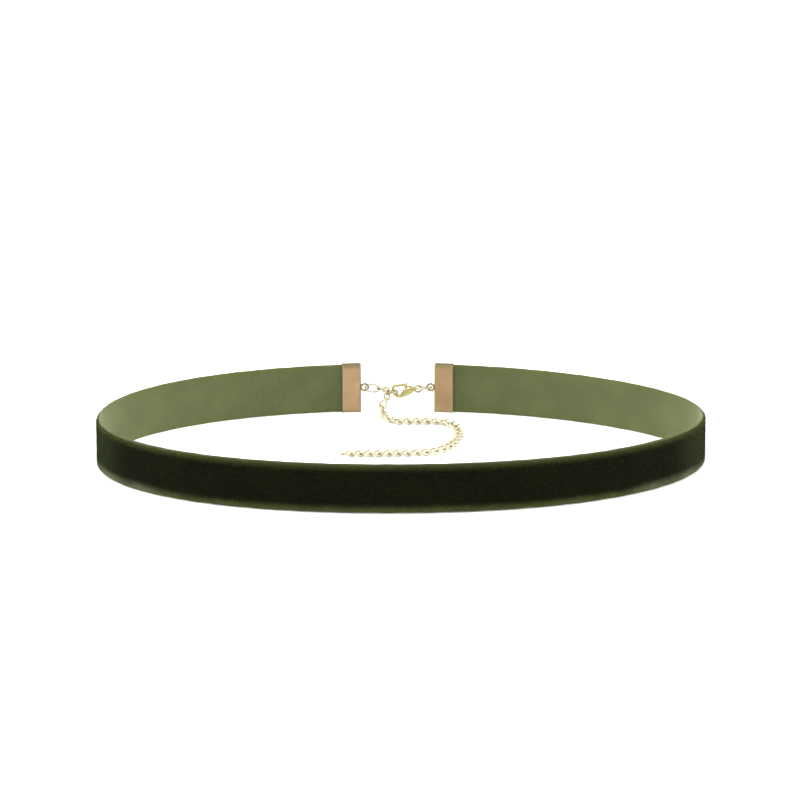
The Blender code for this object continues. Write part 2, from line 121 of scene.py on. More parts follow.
class NodeSheet:
    """Short forms for building one node tree."""

    def __init__(self, tree: Tree) -> None:
        """Keep the tree that the nodes go into."""
        self.tree = tree

    def feed(self, socket: Socket, value: object) -> None:
        """Link a socket into another one, or set a plain value on it.

        Args:
            socket: the input.
            value: an output socket, a number, a text or a tuple.
        """
        if isinstance(value, Socket):
            self.tree.links.new(value, socket)
        else:
            socket.default_value = value

    def fill(self, node: Node, feeds: dict) -> None:
        """Feed several inputs of a node, given by name or number."""
        for key, value in feeds.items():
            self.feed(node.inputs[key], value)

    def add(self, kind: str, feeds: dict | None = None, **settings: object) -> Node:
        """Add one node.

        Args:
            kind: the node's type name.
            feeds: what goes into its inputs, by name or number.
            settings: properties set on the node before it is fed.

        Returns:
            The new node.
        """
        node = self.tree.nodes.new(kind)
        for key, value in settings.items():
            setattr(node, key, value)
        self.fill(node, feeds or {})
        return node

    def math(self, operation: str, *terms: object) -> Socket:
        """Work out one operation on up to three sockets or numbers."""
        return self.add("ShaderNodeMath", dict(enumerate(terms)), operation=operation).outputs[0]

    def vector(self, operation: str, *terms: object) -> Socket:
        """Work out one operation on sockets or tuples that are vectors."""
        return self.add("ShaderNodeVectorMath", dict(enumerate(terms)), operation=operation).outputs[0]

    def scaled(self, vector: Socket, scale: object) -> Socket:
        """Multiply a vector by a socket or number."""
        return self.add("ShaderNodeVectorMath", {0: vector, "Scale": scale}, operation="SCALE").outputs[0]

    def axes(self, vector: Socket) -> tuple[Socket, ...]:
        """Take a vector apart into its three values."""
        return tuple(self.add("ShaderNodeSeparateXYZ", {0: vector}).outputs)

    def join(self, x: object, y: object, z: object) -> Socket:
        """Put three values together into a vector."""
        return self.add("ShaderNodeCombineXYZ", {0: x, 1: y, 2: z}).outputs[0]

    def place(self) -> Socket:
        """Read the place on the object."""
        return self.add("ShaderNodeTexCoord").outputs["Object"]

    def attribute(self, name: str, output: str) -> Socket:
        """Read one attribute of the mesh, as Fac or Vector."""
        return self.add("ShaderNodeAttribute", attribute_name=name).outputs[output]

    def remap(
        self, value: object, low: float, high: float, to_low: float = 0.0, to_high: float = 1.0
    ) -> Socket:
        """Map a range smoothly onto another one, by the low end and the high end of each."""
        feeds = dict(enumerate((value, low, high, to_low, to_high)))
        return self.add("ShaderNodeMapRange", feeds, interpolation_type="SMOOTHSTEP").outputs[0]

    def noise(self, place: Socket, scale: object, detail: float = 2.0) -> Socket:
        """Read a noise with so many waves per metre and so many octaves."""
        feeds = {"Vector": place, "Scale": scale, "Detail": detail}
        return self.add("ShaderNodeTexNoise", feeds).outputs["Fac"]

    def blend(self, share: Socket, first: object, second: object) -> Socket:
        """Mix two colours or sockets, by the share of the second."""
        wide = [(*value, 1.0) if isinstance(value, tuple) else value for value in (first, second)]
        return self.add("ShaderNodeMix", {0: share, 6: wide[0], 7: wide[1]}, data_type="RGBA").outputs[2]

    def near_edges(self, height: Socket, width: float, band: Pair) -> Socket:
        """Find how near a height is to the edges of a band of cloth.

        Args:
            height: metres up from its lower edge.
            width: the cloth's width.
            band: distances from the edges where the result is 0 and 1.

        Returns:
            The result socket.
        """
        middle = width / 2.0
        from_middle = self.math("ABSOLUTE", self.math("SUBTRACT", height, middle))
        return self.remap(from_middle, middle - band[0], middle - band[1])

    def bump(self, height: Socket, strength: float, distance: float) -> Socket:
        """Turn a height into a normal, with the height of a full step in metres."""
        feeds = {"Strength": strength, "Distance": distance, "Height": height}
        return self.add("ShaderNodeBump", feeds).outputs["Normal"]

    def chance(self, low: float, high: float) -> Socket:
        """Draw a number for each instance."""
        return self.add("FunctionNodeRandomValue", {2: low, 3: high}, data_type="FLOAT").outputs[1]

    def gather(self, end: Node, instances: Socket, finish: Socket, smooth: bool) -> None:
        """Make instances real, give them their finish and end the tree.

        Args:
            end: the group's output node.
            instances: what the tree laid.
            finish: the material's socket.
            smooth: whether the faces are shaded smooth.
        """
        shape = self.add("GeometryNodeRealizeInstances", {"Geometry": instances}).outputs["Geometry"]
        if smooth:
            shape = self.add("GeometryNodeSetShadeSmooth", {"Geometry": shape}).outputs["Geometry"]
        coat = self.add("GeometryNodeSetMaterial", {"Geometry": shape, "Material": finish})
        self.fill(end, {"Geometry": coat.outputs["Geometry"]})


def open_group(
    name: str, kind: str, takes: dict[str, Kind], gives: dict[str, Kind]
) -> tuple[NodeSheet, dict, Node]:
    """Start a node group with named inputs and outputs.

    Args:
        name: the group's name.
        kind: ShaderNodeTree or GeometryNodeTree.
        takes: input names and socket types.
        gives: output names and socket types.

    Returns:
        The sheet, the inputs' sockets by name and the output node.
    """
    tree = bpy.data.node_groups.new(name, kind)
    for way, sockets in (("INPUT", takes), ("OUTPUT", gives)):
        for label, socket in sockets.items():
            tree.interface.new_socket(label, in_out=way, socket_type=socket.value)
    sheet = NodeSheet(tree)
    start = sheet.add("NodeGroupInput")
    return sheet, {key: start.outputs[key] for key in takes}, sheet.add("NodeGroupOutput")


def plain_weave_group() -> Tree:
    """Build the plain weave: warp threads along the cloth, weft threads across it.

    Returns:
        A group from cloth coordinates in metres to thread height and a mask of the threads on top.
    """
    takes = {"Cloth": Kind.VECTOR, "Weft Pitch": Kind.FLOAT, "Warp Pitch": Kind.FLOAT}
    gives = {"Height": Kind.FLOAT, "Warp On Top": Kind.FLOAT}
    sheet, start, end = open_group("plain_weave", "ShaderNodeTree", takes, gives)
    along, across, _ = sheet.axes(start["Cloth"])
    along = sheet.math("DIVIDE", along, start["Weft Pitch"])
    across = sheet.math("DIVIDE", across, start["Warp Pitch"])
    cells = sheet.math("ADD", sheet.math("FLOOR", along), sheet.math("FLOOR", across))
    on_top = sheet.math("FLOORED_MODULO", cells, 2.0)
    warp_round = sheet.math("ABSOLUTE", sheet.math("SINE", sheet.math("MULTIPLY", across, math.pi)))
    weft_round = sheet.math("ABSOLUTE", sheet.math("SINE", sheet.math("MULTIPLY", along, math.pi)))
    warp = sheet.math("MULTIPLY", warp_round, sheet.math("MULTIPLY_ADD", weft_round, *THREAD_SWELL))
    weft = sheet.math("MULTIPLY", weft_round, sheet.math("MULTIPLY_ADD", warp_round, *THREAD_SWELL))
    under = sheet.math("MULTIPLY", weft, sheet.math("SUBTRACT", 1.0, on_top))
    height = sheet.math("ADD", sheet.math("MULTIPLY", warp, on_top), under)
    sheet.fill(end, {"Height": height, "Warp On Top": on_top})
    return sheet.tree


def handling_group() -> Tree:
    """Build the marks of handling on plated metal.

    Returns:
        A group that gives soft smudges and fine hairline scratches, both from 0 to 1.
    """
    takes = {"Place": Kind.VECTOR, "Smudge Scale": Kind.FLOAT, "Hairline Scale": Kind.FLOAT}
    gives = {"Smudge": Kind.FLOAT, "Hairlines": Kind.FLOAT}
    sheet, start, end = open_group("handling_marks", "ShaderNodeTree", takes, gives)
    smudge = sheet.noise(start["Place"], start["Smudge Scale"], detail=3.0)
    stretched = sheet.vector("MULTIPLY", start["Place"], HAIRLINE_STRETCH)
    lines = sheet.noise(stretched, start["Hairline Scale"], detail=1.0)
    sheet.fill(end, {
        "Smudge": sheet.remap(smudge, *SMUDGE_RANGE),
        "Hairlines": sheet.remap(lines, *HAIRLINE_RANGE),
    })
    return sheet.tree


def shader_sheet(name: str) -> tuple[Material, NodeSheet, Node]:
    """Start a material with one Principled shader.

    Args:
        name: the material's name.

    Returns:
        The material, its sheet and its shader node.
    """
    material = bpy.data.materials.new(name)
    material.use_nodes = True
    return material, NodeSheet(material.node_tree), material.node_tree.nodes["Principled BSDF"]


@dataclass(frozen=True)
class VelvetFinish:
    """Silk pile, dark where it is looked into: partly its dark dye, partly painted shade deep in the pile.

    The pile body under the fibres is near black, and the fibres are painted darker towards their roots
    as shade between them; their tips stay paler. Both edge margins are paler, partly sparser pile and
    partly painted sheen on the pile's rounded edges. The lower margin is paler still, partly pile wear
    and partly painted bounce light from the floor. Round the loop's two bends the pile carries a painted
    sheen, and the lower margin a wider band of painted reflection of the floor.
    The edge band is measured from the ribbon's edges. The bends are shares of the loop's reach.
    """

    name: str
    width: float
    reach: float
    deep: Colour = (0.0014, 0.0017, 0.0004)
    light: Colour = (0.0050, 0.0062, 0.0013)
    tip: Colour = (0.0310, 0.0380, 0.0130)
    margin: Colour = (0.0400, 0.0480, 0.0120)
    hem: Colour = (0.1120, 0.1260, 0.0430)
    painted_bend_sheen: Colour = (0.0520, 0.0680, 0.0270)
    painted_hem_reflection: Colour = (0.1650, 0.1800, 0.1100)
    brushed_scale: float = 130.0
    brushed_range: Pair = (0.35, 0.70)
    brushed_share: float = 0.35
    fibre_scale: float = 5200.0
    fibre_range: Pair = (0.38, 0.66)
    fibre_share: float = 0.55
    fibre_step: float = 0.08 * MM
    tip_share: float = 0.75
    margin_share: float = 0.8
    ragged_scale: float = 1100.0
    ragged: float = 0.8 * MM
    thin_pile_and_sheen_band: Pair = (2.2 * MM, 0.3 * MM)
    worn_and_bounce_height: float = 2.7 * MM
    worn_and_bounce_most: float = 0.72
    worn_and_bounce_patches: Pair = (0.5, 0.6)
    hem_reflection_widens: float = 0.5 * MM
    lean: float = 0.9 * MM
    bend_sheen_band: Pair = (0.88, 1.02)
    hem_reflection_band: Pair = (0.72, 0.84)
    bend_sheen_most: float = 0.30
    roughness: Pair = (0.12, 0.86)
    relief: float = 0.55
    specular: float = 0.08
    sheen: float = 0.38
    sheen_roughness: float = 0.25
    sheen_tint: Colour = (0.34, 0.42, 0.09)

    def material(self) -> Material:
        """Build the material.

        Returns:
            The velvet, which reads the attributes `cloth` and, on the fibres, `tip`.
        """
        material, sheet, shader = shader_sheet(self.name)
        place = sheet.place()
        brushed = sheet.remap(sheet.noise(place, self.brushed_scale, detail=3.0), *self.brushed_range)
        fibre = sheet.remap(sheet.noise(place, self.fibre_scale), *self.fibre_range)
        share = sheet.math("MULTIPLY", fibre, self.fibre_share)
        share = sheet.math("MULTIPLY_ADD", brushed, self.brushed_share, share)
        # On the pile body the near-black deep and light tones are partly the dye and partly painted shade
        # deep in the pile.
        pile = sheet.blend(share, self.deep, self.light)
        # Fibres are painted darker towards their roots, as painted shade between them; their tips keep the
        # paler tone.
        tipped = sheet.math("MULTIPLY", sheet.attribute("tip", "Fac"), self.tip_share)
        pile = sheet.blend(tipped, pile, self.tip)
        edge_noise = sheet.noise(place, self.ragged_scale, detail=4.0)
        ragged = sheet.math("MULTIPLY_ADD", edge_noise, self.ragged, -self.ragged / 2.0)
        height = sheet.math("ADD", sheet.axes(sheet.attribute("cloth", "Vector"))[1], ragged)
        # Along both edges the pile is painted paler: partly sparser pile, partly painted sheen on its rounded
        # edges.
        thin_pile_and_sheen = sheet.near_edges(height, self.width, self.thin_pile_and_sheen_band)
        pile = sheet.blend(sheet.math("MULTIPLY", thin_pile_and_sheen, self.margin_share), pile, self.margin)
        # Round the loop's two bends the pile is painted paler, as a painted sheen.
        leaning = sheet.math("ADD", sheet.axes(place)[0], self.lean)
        bend = sheet.math("DIVIDE", sheet.math("ABSOLUTE", leaning), self.reach)
        pile = sheet.blend(sheet.remap(bend, *self.bend_sheen_band, 0.0, self.bend_sheen_most), pile, self.painted_bend_sheen)
        # Near the bends the lower margin is painted wider and paler, as a painted reflection of the floor.
        hem_reflection_share = sheet.remap(bend, *self.hem_reflection_band)
        low = sheet.math("MULTIPLY_ADD", hem_reflection_share, -self.hem_reflection_widens, height)
        # The lower margin is painted paler, mottled at random: partly pile wear, partly painted bounce light
        # from the floor.
        worn_and_bounce = sheet.remap(low, self.worn_and_bounce_height, 0.0, 0.0, self.worn_and_bounce_most)
        worn_and_bounce = sheet.math("MULTIPLY", worn_and_bounce, sheet.math("MULTIPLY_ADD", brushed, *self.worn_and_bounce_patches))
        sheet.fill(shader, {
            "Base Color": sheet.blend(worn_and_bounce, pile, sheet.blend(hem_reflection_share, self.hem, self.painted_hem_reflection)),
            "Roughness": sheet.math("MULTIPLY_ADD", fibre, *self.roughness),
            "Normal": sheet.bump(fibre, self.relief, self.fibre_step),
            "Specular IOR Level": self.specular,
            "Sheen Weight": self.sheen,
            "Sheen Roughness": self.sheen_roughness,
            "Sheen Tint": (*self.sheen_tint, 1.0),
        })
        return material


@dataclass(frozen=True)
class BackingFinish:
    """Plain woven ground of the ribbon, with a denser and yellower selvage.

    The valleys between threads carry painted shade, and the bottom of the outer face painted bounce light
    from the floor.
    """

    name: str
    weave: Tree
    width: float
    warp: Colour = (0.103, 0.119, 0.043)
    weft: Colour = (0.082, 0.095, 0.032)
    selvage: Colour = (0.099, 0.111, 0.030)
    outside: Colour = (0.055, 0.064, 0.019)
    hem: Colour = (0.112, 0.122, 0.054)
    weft_pitch: float = 0.46 * MM
    warp_pitch: float = 0.36 * MM
    wobble: float = 0.22 * MM
    wobble_scale: float = 420.0
    slub_scale: float = 95.0
    slub_range: Pair = (0.36, 0.66)
    slub_shade: Pair = (0.16, 0.92)
    thread_shade: Pair = (0.34, 0.70)
    thread_step: float = 0.09 * MM
    selvage_band: Pair = (1.9 * MM, 0.7 * MM)
    selvage_share: float = 0.75
    outward_band: Pair = (0.10, 0.36)
    outside_share: float = 0.9
    hem_height: float = 0.8 * MM
    roughness: Pair = (-0.16, 0.78)
    relief: float = 0.5
    specular: float = 0.25
    sheen: float = 0.78
    sheen_roughness: float = 0.32
    sheen_tint: Colour = (0.60, 0.68, 0.40)

    def material(self) -> Material:
        """Build the material.

        Returns:
            The woven ground, which reads the attribute `cloth`.
        """
        material, sheet, shader = shader_sheet(self.name)
        cloth = sheet.attribute("cloth", "Vector")
        noise = sheet.add("ShaderNodeTexNoise", {"Vector": cloth, "Scale": self.wobble_scale})
        shift = sheet.vector("SUBTRACT", noise.outputs["Color"], (0.5, 0.5, 0.5))
        threads = sheet.add("ShaderNodeGroup", {
            "Cloth": sheet.vector("ADD", cloth, sheet.scaled(shift, self.wobble)),
            "Weft Pitch": self.weft_pitch,
            "Warp Pitch": self.warp_pitch,
        }, node_tree=self.weave).outputs
        _, up, through = sheet.axes(cloth)
        edge = sheet.near_edges(up, self.width, self.selvage_band)
        ground = sheet.blend(threads["Warp On Top"], self.weft, self.warp)
        ground = sheet.blend(sheet.math("MULTIPLY", edge, self.selvage_share), ground, self.selvage)
        # Along the bottom of the outer face the ground is painted paler, as painted bounce light from the
        # floor.
        low = sheet.remap(up, 0.0, self.hem_height, 1.0, 0.0)
        outward = sheet.remap(through, *self.outward_band, 0.0, self.outside_share)
        ground = sheet.blend(outward, ground, sheet.blend(low, self.outside, self.hem))
        slub = sheet.remap(sheet.noise(cloth, self.slub_scale, detail=4.0), *self.slub_range)
        # Thread height lightens the thread tops and darkens the valleys between them, as painted shade; slubs
        # vary the tone at random.
        shade = sheet.math("MULTIPLY_ADD", threads["Height"], *self.thread_shade)
        shade = sheet.math("MULTIPLY", shade, sheet.math("MULTIPLY_ADD", slub, *self.slub_shade))
        sheet.fill(shader, {
            "Base Color": sheet.scaled(ground, shade),
            "Roughness": sheet.math("MULTIPLY_ADD", threads["Height"], *self.roughness),
            "Normal": sheet.bump(threads["Height"], self.relief, self.thread_step),
            "Specular IOR Level": self.specular,
            "Sheen Weight": self.sheen,
            "Sheen Roughness": self.sheen_roughness,
            "Sheen Tint": (*self.sheen_tint, 1.0),
        })
        return material


@dataclass(frozen=True)
class PlatedFinish:
    """Thin plating over brass, with smudges and hairlines.

    Smudges and the edges that one attribute gives take a duller tone; the parts that another attribute
    gives take a darker, yellower tone.
    """

    name: str
    marks: Tree
    colour: Colour
    dull: Colour
    roughness: float
    smudge_scale: float = 420.0
    smudge_share: float = 0.45
    smudge_roughness: float = 0.10
    hairline_scale: float = 5200.0
    hairline_step: float = 0.01 * MM
    relief: float = 0.12
    hairline_roughness: float = 0.07
    edge_attribute: str = ""
    side_band: Pair = (0.55, 1.0)
    end_band: Pair = (0.80, 1.0)
    edge_share: float = 0.85
    darker_tone_attribute: str = ""
    darker_tone: Colour = (0.36, 0.325, 0.165)
    darker_tone_share: float = 0.5

    def material(self) -> Material:
        """Build the material.

        Returns:
            The plated metal. An edge attribute dulls it to the second tone near 1, and another
            attribute turns the parts it gives to a darker, yellower tone.
        """
        material, sheet, shader = shader_sheet(self.name)
        marks = sheet.add("ShaderNodeGroup", {
            "Place": sheet.place(),
            "Smudge Scale": self.smudge_scale,
            "Hairline Scale": self.hairline_scale,
        }, node_tree=self.marks).outputs
        share = sheet.math("MULTIPLY", marks["Smudge"], self.smudge_share)
        # Towards the sides and the top and bottom ends that the edge attribute gives, the tone turns duller
        # than the plate's middle.
        if self.edge_attribute:
            along, _, up = sheet.axes(sheet.attribute(self.edge_attribute, "Vector"))
            sides = sheet.remap(sheet.math("ABSOLUTE", along), *self.side_band)
            ends = sheet.remap(sheet.math("ABSOLUTE", up), *self.end_band)
            edge = sheet.math("MULTIPLY", sheet.math("MAXIMUM", sides, ends), self.edge_share)
            share = sheet.math("MAXIMUM", share, edge)
        tone = sheet.blend(share, self.colour, self.dull)
        # On the parts that the attribute gives, the tone turns darker and yellower.
        if self.darker_tone_attribute:
            marked = sheet.attribute(self.darker_tone_attribute, "Fac")
            marked = sheet.math("MULTIPLY", marked, self.darker_tone_share)
            tone = sheet.blend(marked, tone, self.darker_tone)
        rough = sheet.math("MULTIPLY_ADD", marks["Smudge"], self.smudge_roughness, self.roughness)
        sheet.fill(shader, {
            "Base Color": tone,
            "Roughness": sheet.math("MULTIPLY_ADD", marks["Hairlines"], self.hairline_roughness, rough),
            "Metallic": 1.0,
            "Normal": sheet.bump(marks["Hairlines"], self.relief, self.hairline_step),
        })
        return material


def stand(name: str, data: bpy.types.ID) -> Piece:
    """Put new data into the scene as an object at the origin.

    Args:
        name: the object's name.
        data: its mesh, light or camera.

    Returns:
        The object.
    """
    item = bpy.data.objects.new(name, data)
    bpy.context.scene.collection.objects.link(item)
    return item


def turn_outward(mesh: bpy.types.Mesh) -> None:
    """Turn every face of a mesh outward.

    Args:
        mesh: the mesh.
    """
    work = bmesh.new()
    work.from_mesh(mesh)
    bmesh.ops.recalc_face_normals(work, faces=work.faces)
    work.to_mesh(mesh)
    work.free()


def store(mesh: bpy.types.Mesh, name: str, values: object) -> None:
    """Keep a number or a vector on each point of a mesh.

    Args:
        mesh: the mesh.
        name: the attribute's name.
        values: a number or three for each point.
    """
    rows = np.array(values, np.float32)
    kind, field = ("FLOAT_VECTOR", "vector") if rows.ndim == 2 else ("FLOAT", "value")
    mesh.attributes.new(name, kind, "POINT").data.foreach_set(field, rows.ravel())


def mesh_piece(name: str, vertices: list, faces: list, material: Material, smooth: bool = True) -> Piece:
    """Build one mesh object at the origin with its faces outward.

    Args:
        name: the piece's name.
        vertices: places in metres.
        faces: vertex numbers.
        material: its finish.
        smooth: whether the faces are shaded smooth.

    Returns:
        The object.
    """
    mesh = bpy.data.meshes.new(name)
    mesh.from_pydata([tuple(vertex) for vertex in vertices], [], faces)
    mesh.materials.append(material)
    turn_outward(mesh)
    mesh.polygons.foreach_set("use_smooth", [smooth] * len(mesh.polygons))
    return stand(name, mesh)


def tube_faces(rings: int, sides: int, closed: bool) -> list[tuple[int, ...]]:
    """List the faces of a tube.

    Args:
        rings: number of rings.
        sides: points in each ring.
        closed: whether the last ring joins the first; else both ends are capped.

    Returns:
        The faces.
    """
    faces: list[tuple[int, ...]] = []
    for ring in range(rings if closed else rings - 1):
        base = ring * sides
        above = (ring + 1) % rings * sides
        for side in range(sides):
            beside = (side + 1) % sides
            faces.append((base + side, base + beside, above + beside, above + side))
    if not closed:
        faces.append(tuple(reversed(range(sides))))
        faces.append(tuple(range((rings - 1) * sides, rings * sides)))
    return faces


def arc(steps: int, turn: float = math.pi / 2.0) -> Rows:
    """List sine and cosine at even steps of a turn, both ends included."""
    angles = [turn * step / steps for step in range(steps + 1)]
    return [(math.sin(angle), math.cos(angle)) for angle in angles]


def circle(count: int, first: float = 0.0) -> list[float]:
    """List the angles of even points round a circle, from a share of one step on."""
    return [2.0 * math.pi * (step + first) / count for step in range(count)]


def spun(middle: Pair, distance: float, across: float, angle: float) -> Place:
    """Find a point turned about an axis that runs across, through a middle along and up."""
    return middle[0] + distance * math.cos(angle), across, middle[1] + distance * math.sin(angle)


def keep_result(piece: Piece) -> Piece:
    """Replace a piece's mesh by what its modifiers make of it, and remove them.

    Args:
        piece: object with live modifiers.

    Returns:
        The same object with a plain mesh.
    """
    graph = bpy.context.evaluated_depsgraph_get()
    result = bpy.data.meshes.new_from_object(piece.evaluated_get(graph))
    piece.modifiers.clear()
    old = piece.data
    piece.data = result
    result.name = piece.name
    bpy.data.meshes.remove(old)
    return piece


def combine(piece: Piece, tool: Piece, operation: str) -> None:
    """Apply one exact Boolean and remove the tool.

    Args:
        piece: the object that keeps the result.
        tool: the other solid.
        operation: UNION or DIFFERENCE.
    """
    modifier = piece.modifiers.new("combine", "BOOLEAN")
    modifier.operation = operation
    modifier.solver = "EXACT"
    modifier.object = tool
    keep_result(piece)
    bpy.data.objects.remove(tool)


def set_inputs(piece: Piece, tree: Tree, values: dict[str, object]) -> Piece:
    """Put a geometry tree on a piece, set its inputs by their identifiers and keep the result.

    Args:
        piece: the object.
        tree: the tree.
        values: input names and values.

    Returns:
        The same object with a plain mesh.
    """
    modifier = piece.modifiers.new(tree.name, "NODES")
    modifier.node_group = tree
    for item in tree.interface.items_tree:
        if item.in_out == "INPUT" and item.name in values:
            modifier[item.identifier] = values[item.name]
    return keep_result(piece)


def smooth_rows(rows: tuple, steps: int) -> np.ndarray:
    """Run a smooth line through rows of a table.

    Args:
        rows: the table's rows.
        steps: steps between neighbouring rows.

    Returns:
        The finer rows.
    """
    table = np.array(rows, float)
    table = np.vstack([2.0 * table[0] - table[1], table, 2.0 * table[-1] - table[-2]])
    finer = []
    for place in range(1, len(table) - 2):
        before, first, second, after = table[place - 1:place + 3]
        for step in range(steps):
            t = step / steps
            finer.append(0.5 * (2.0 * first + (second - before) * t
                                + (2.0 * before - 5.0 * first + 4.0 * second - after) * t ** 2
                                + (3.0 * first - before - 3.0 * second + after) * t ** 3))
    finer.append(table[-2])
    return np.array(finer)


def node_axes(name: str) -> tuple[Vector, Matrix]:
    """Find a small CAD node's middle and its axes, longest first.

    Args:
        name: the node's name.

    Returns:
        The middle, and a turn whose columns are the axes.
    """
    places = np.array([vertex.co for vertex in bpy.data.objects[name].data.vertices])
    places = np.unique(np.round(places, 8), axis=0)
    middle = places.mean(axis=0)
    spread = places - middle
    _, axes = np.linalg.eigh(spread.T @ spread)
    first = axes[:, 2]
    second = axes[:, 1]
    if first[0] < 0.0:
        first = -first
    return Vector(middle), Matrix((first, second, np.cross(first, second))).transposed()


def dress(piece: Piece, body: Body, slot: Slot, *nodes: str) -> None:
    """Tie a finished piece to its body and hide the CAD nodes it stands for.

    Args:
        piece: the finished object.
        body: the body it moves with.
        slot: its material slot; not used.
        nodes: CAD nodes that it replaces.
    """
    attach(piece, body.value)
    if nodes:
        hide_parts(*nodes)
    LOG.info("%s: %d faces", piece.name, len(piece.data.polygons))


@dataclass
class LoopPlan:
    """Plan of the loop, measured on the outside of the pile.

    Columns of the harmonics: order, then cosine and sine shares of the half width and of the half depth.
    """

    half_width: float = 75.8 * MM
    half_depth: float = 38.0 * MM
    depth_sine: float = 0.98994
    centre: Pair = (0.48 * MM, 1.11 * MM)
    harmonics: tuple = (
        (2, -0.0025, 0.0110, 0.0027, -0.0026),
        (3, -0.0045, 0.0095, -0.0047, -0.0033),
        (4, 0.0099, -0.0140, 0.0197, 0.0062),
    )
    samples: int = 7200
    left_fold_x: float = -10.244 * MM
    right_fold_x: float = 8.501 * MM

    def __post_init__(self) -> None:
        """Work out the line, its outward normals and its running length."""
        angle = np.linspace(0.0, 2.0 * math.pi, self.samples, endpoint=False)
        x = np.cos(angle)
        y = self.depth_sine * np.sin(angle)
        for order, x_cosine, x_sine, y_cosine, y_sine in self.harmonics:
            x = x + x_cosine * np.cos(order * angle) + x_sine * np.sin(order * angle)
            y = y + y_cosine * np.cos(order * angle) + y_sine * np.sin(order * angle)
        x = x * self.half_width - self.centre[0]
        y = y * self.half_depth - self.centre[1]
        points = np.stack([x, y], axis=1)
        tangents = np.roll(points, -1, axis=0) - np.roll(points, 1, axis=0)
        tangents /= np.linalg.norm(tangents, axis=1)[:, None]
        normals = np.stack([tangents[:, 1], -tangents[:, 0]], axis=1)
        steps = np.linalg.norm(np.roll(points, -1, axis=0) - points, axis=1)
        self.length = np.concatenate([[0.0], np.cumsum(steps)])
        self.points = np.vstack([points, points[:1]])
        self.normals = np.vstack([normals, normals[:1]])

    def at(self, distance: float) -> tuple[np.ndarray, np.ndarray]:
        """Find the line at a running length.

        Args:
            distance: metres along the outside of the pile.

        Returns:
            The point and the outward normal.
        """
        place = distance % self.length[-1]
        point = np.array([np.interp(place, self.length, self.points[:, axis]) for axis in range(2)])
        normal = np.array([np.interp(place, self.length, self.normals[:, axis]) for axis in range(2)])
        return point, normal / np.linalg.norm(normal)

    def folds(self) -> Pair:
        """Find the running lengths of the two crimps' folds.

        Returns:
            Left and right, with the front of the loop between them.
        """
        found = []
        for x_value in (self.left_fold_x, self.right_fold_x):
            apart = np.where(self.points[:-1, 1] > 0.0, np.abs(self.points[:-1, 0] - x_value), 1.0)
            found.append(self.length[int(np.argmin(apart))])
        return found[0], found[1] + self.length[-1]


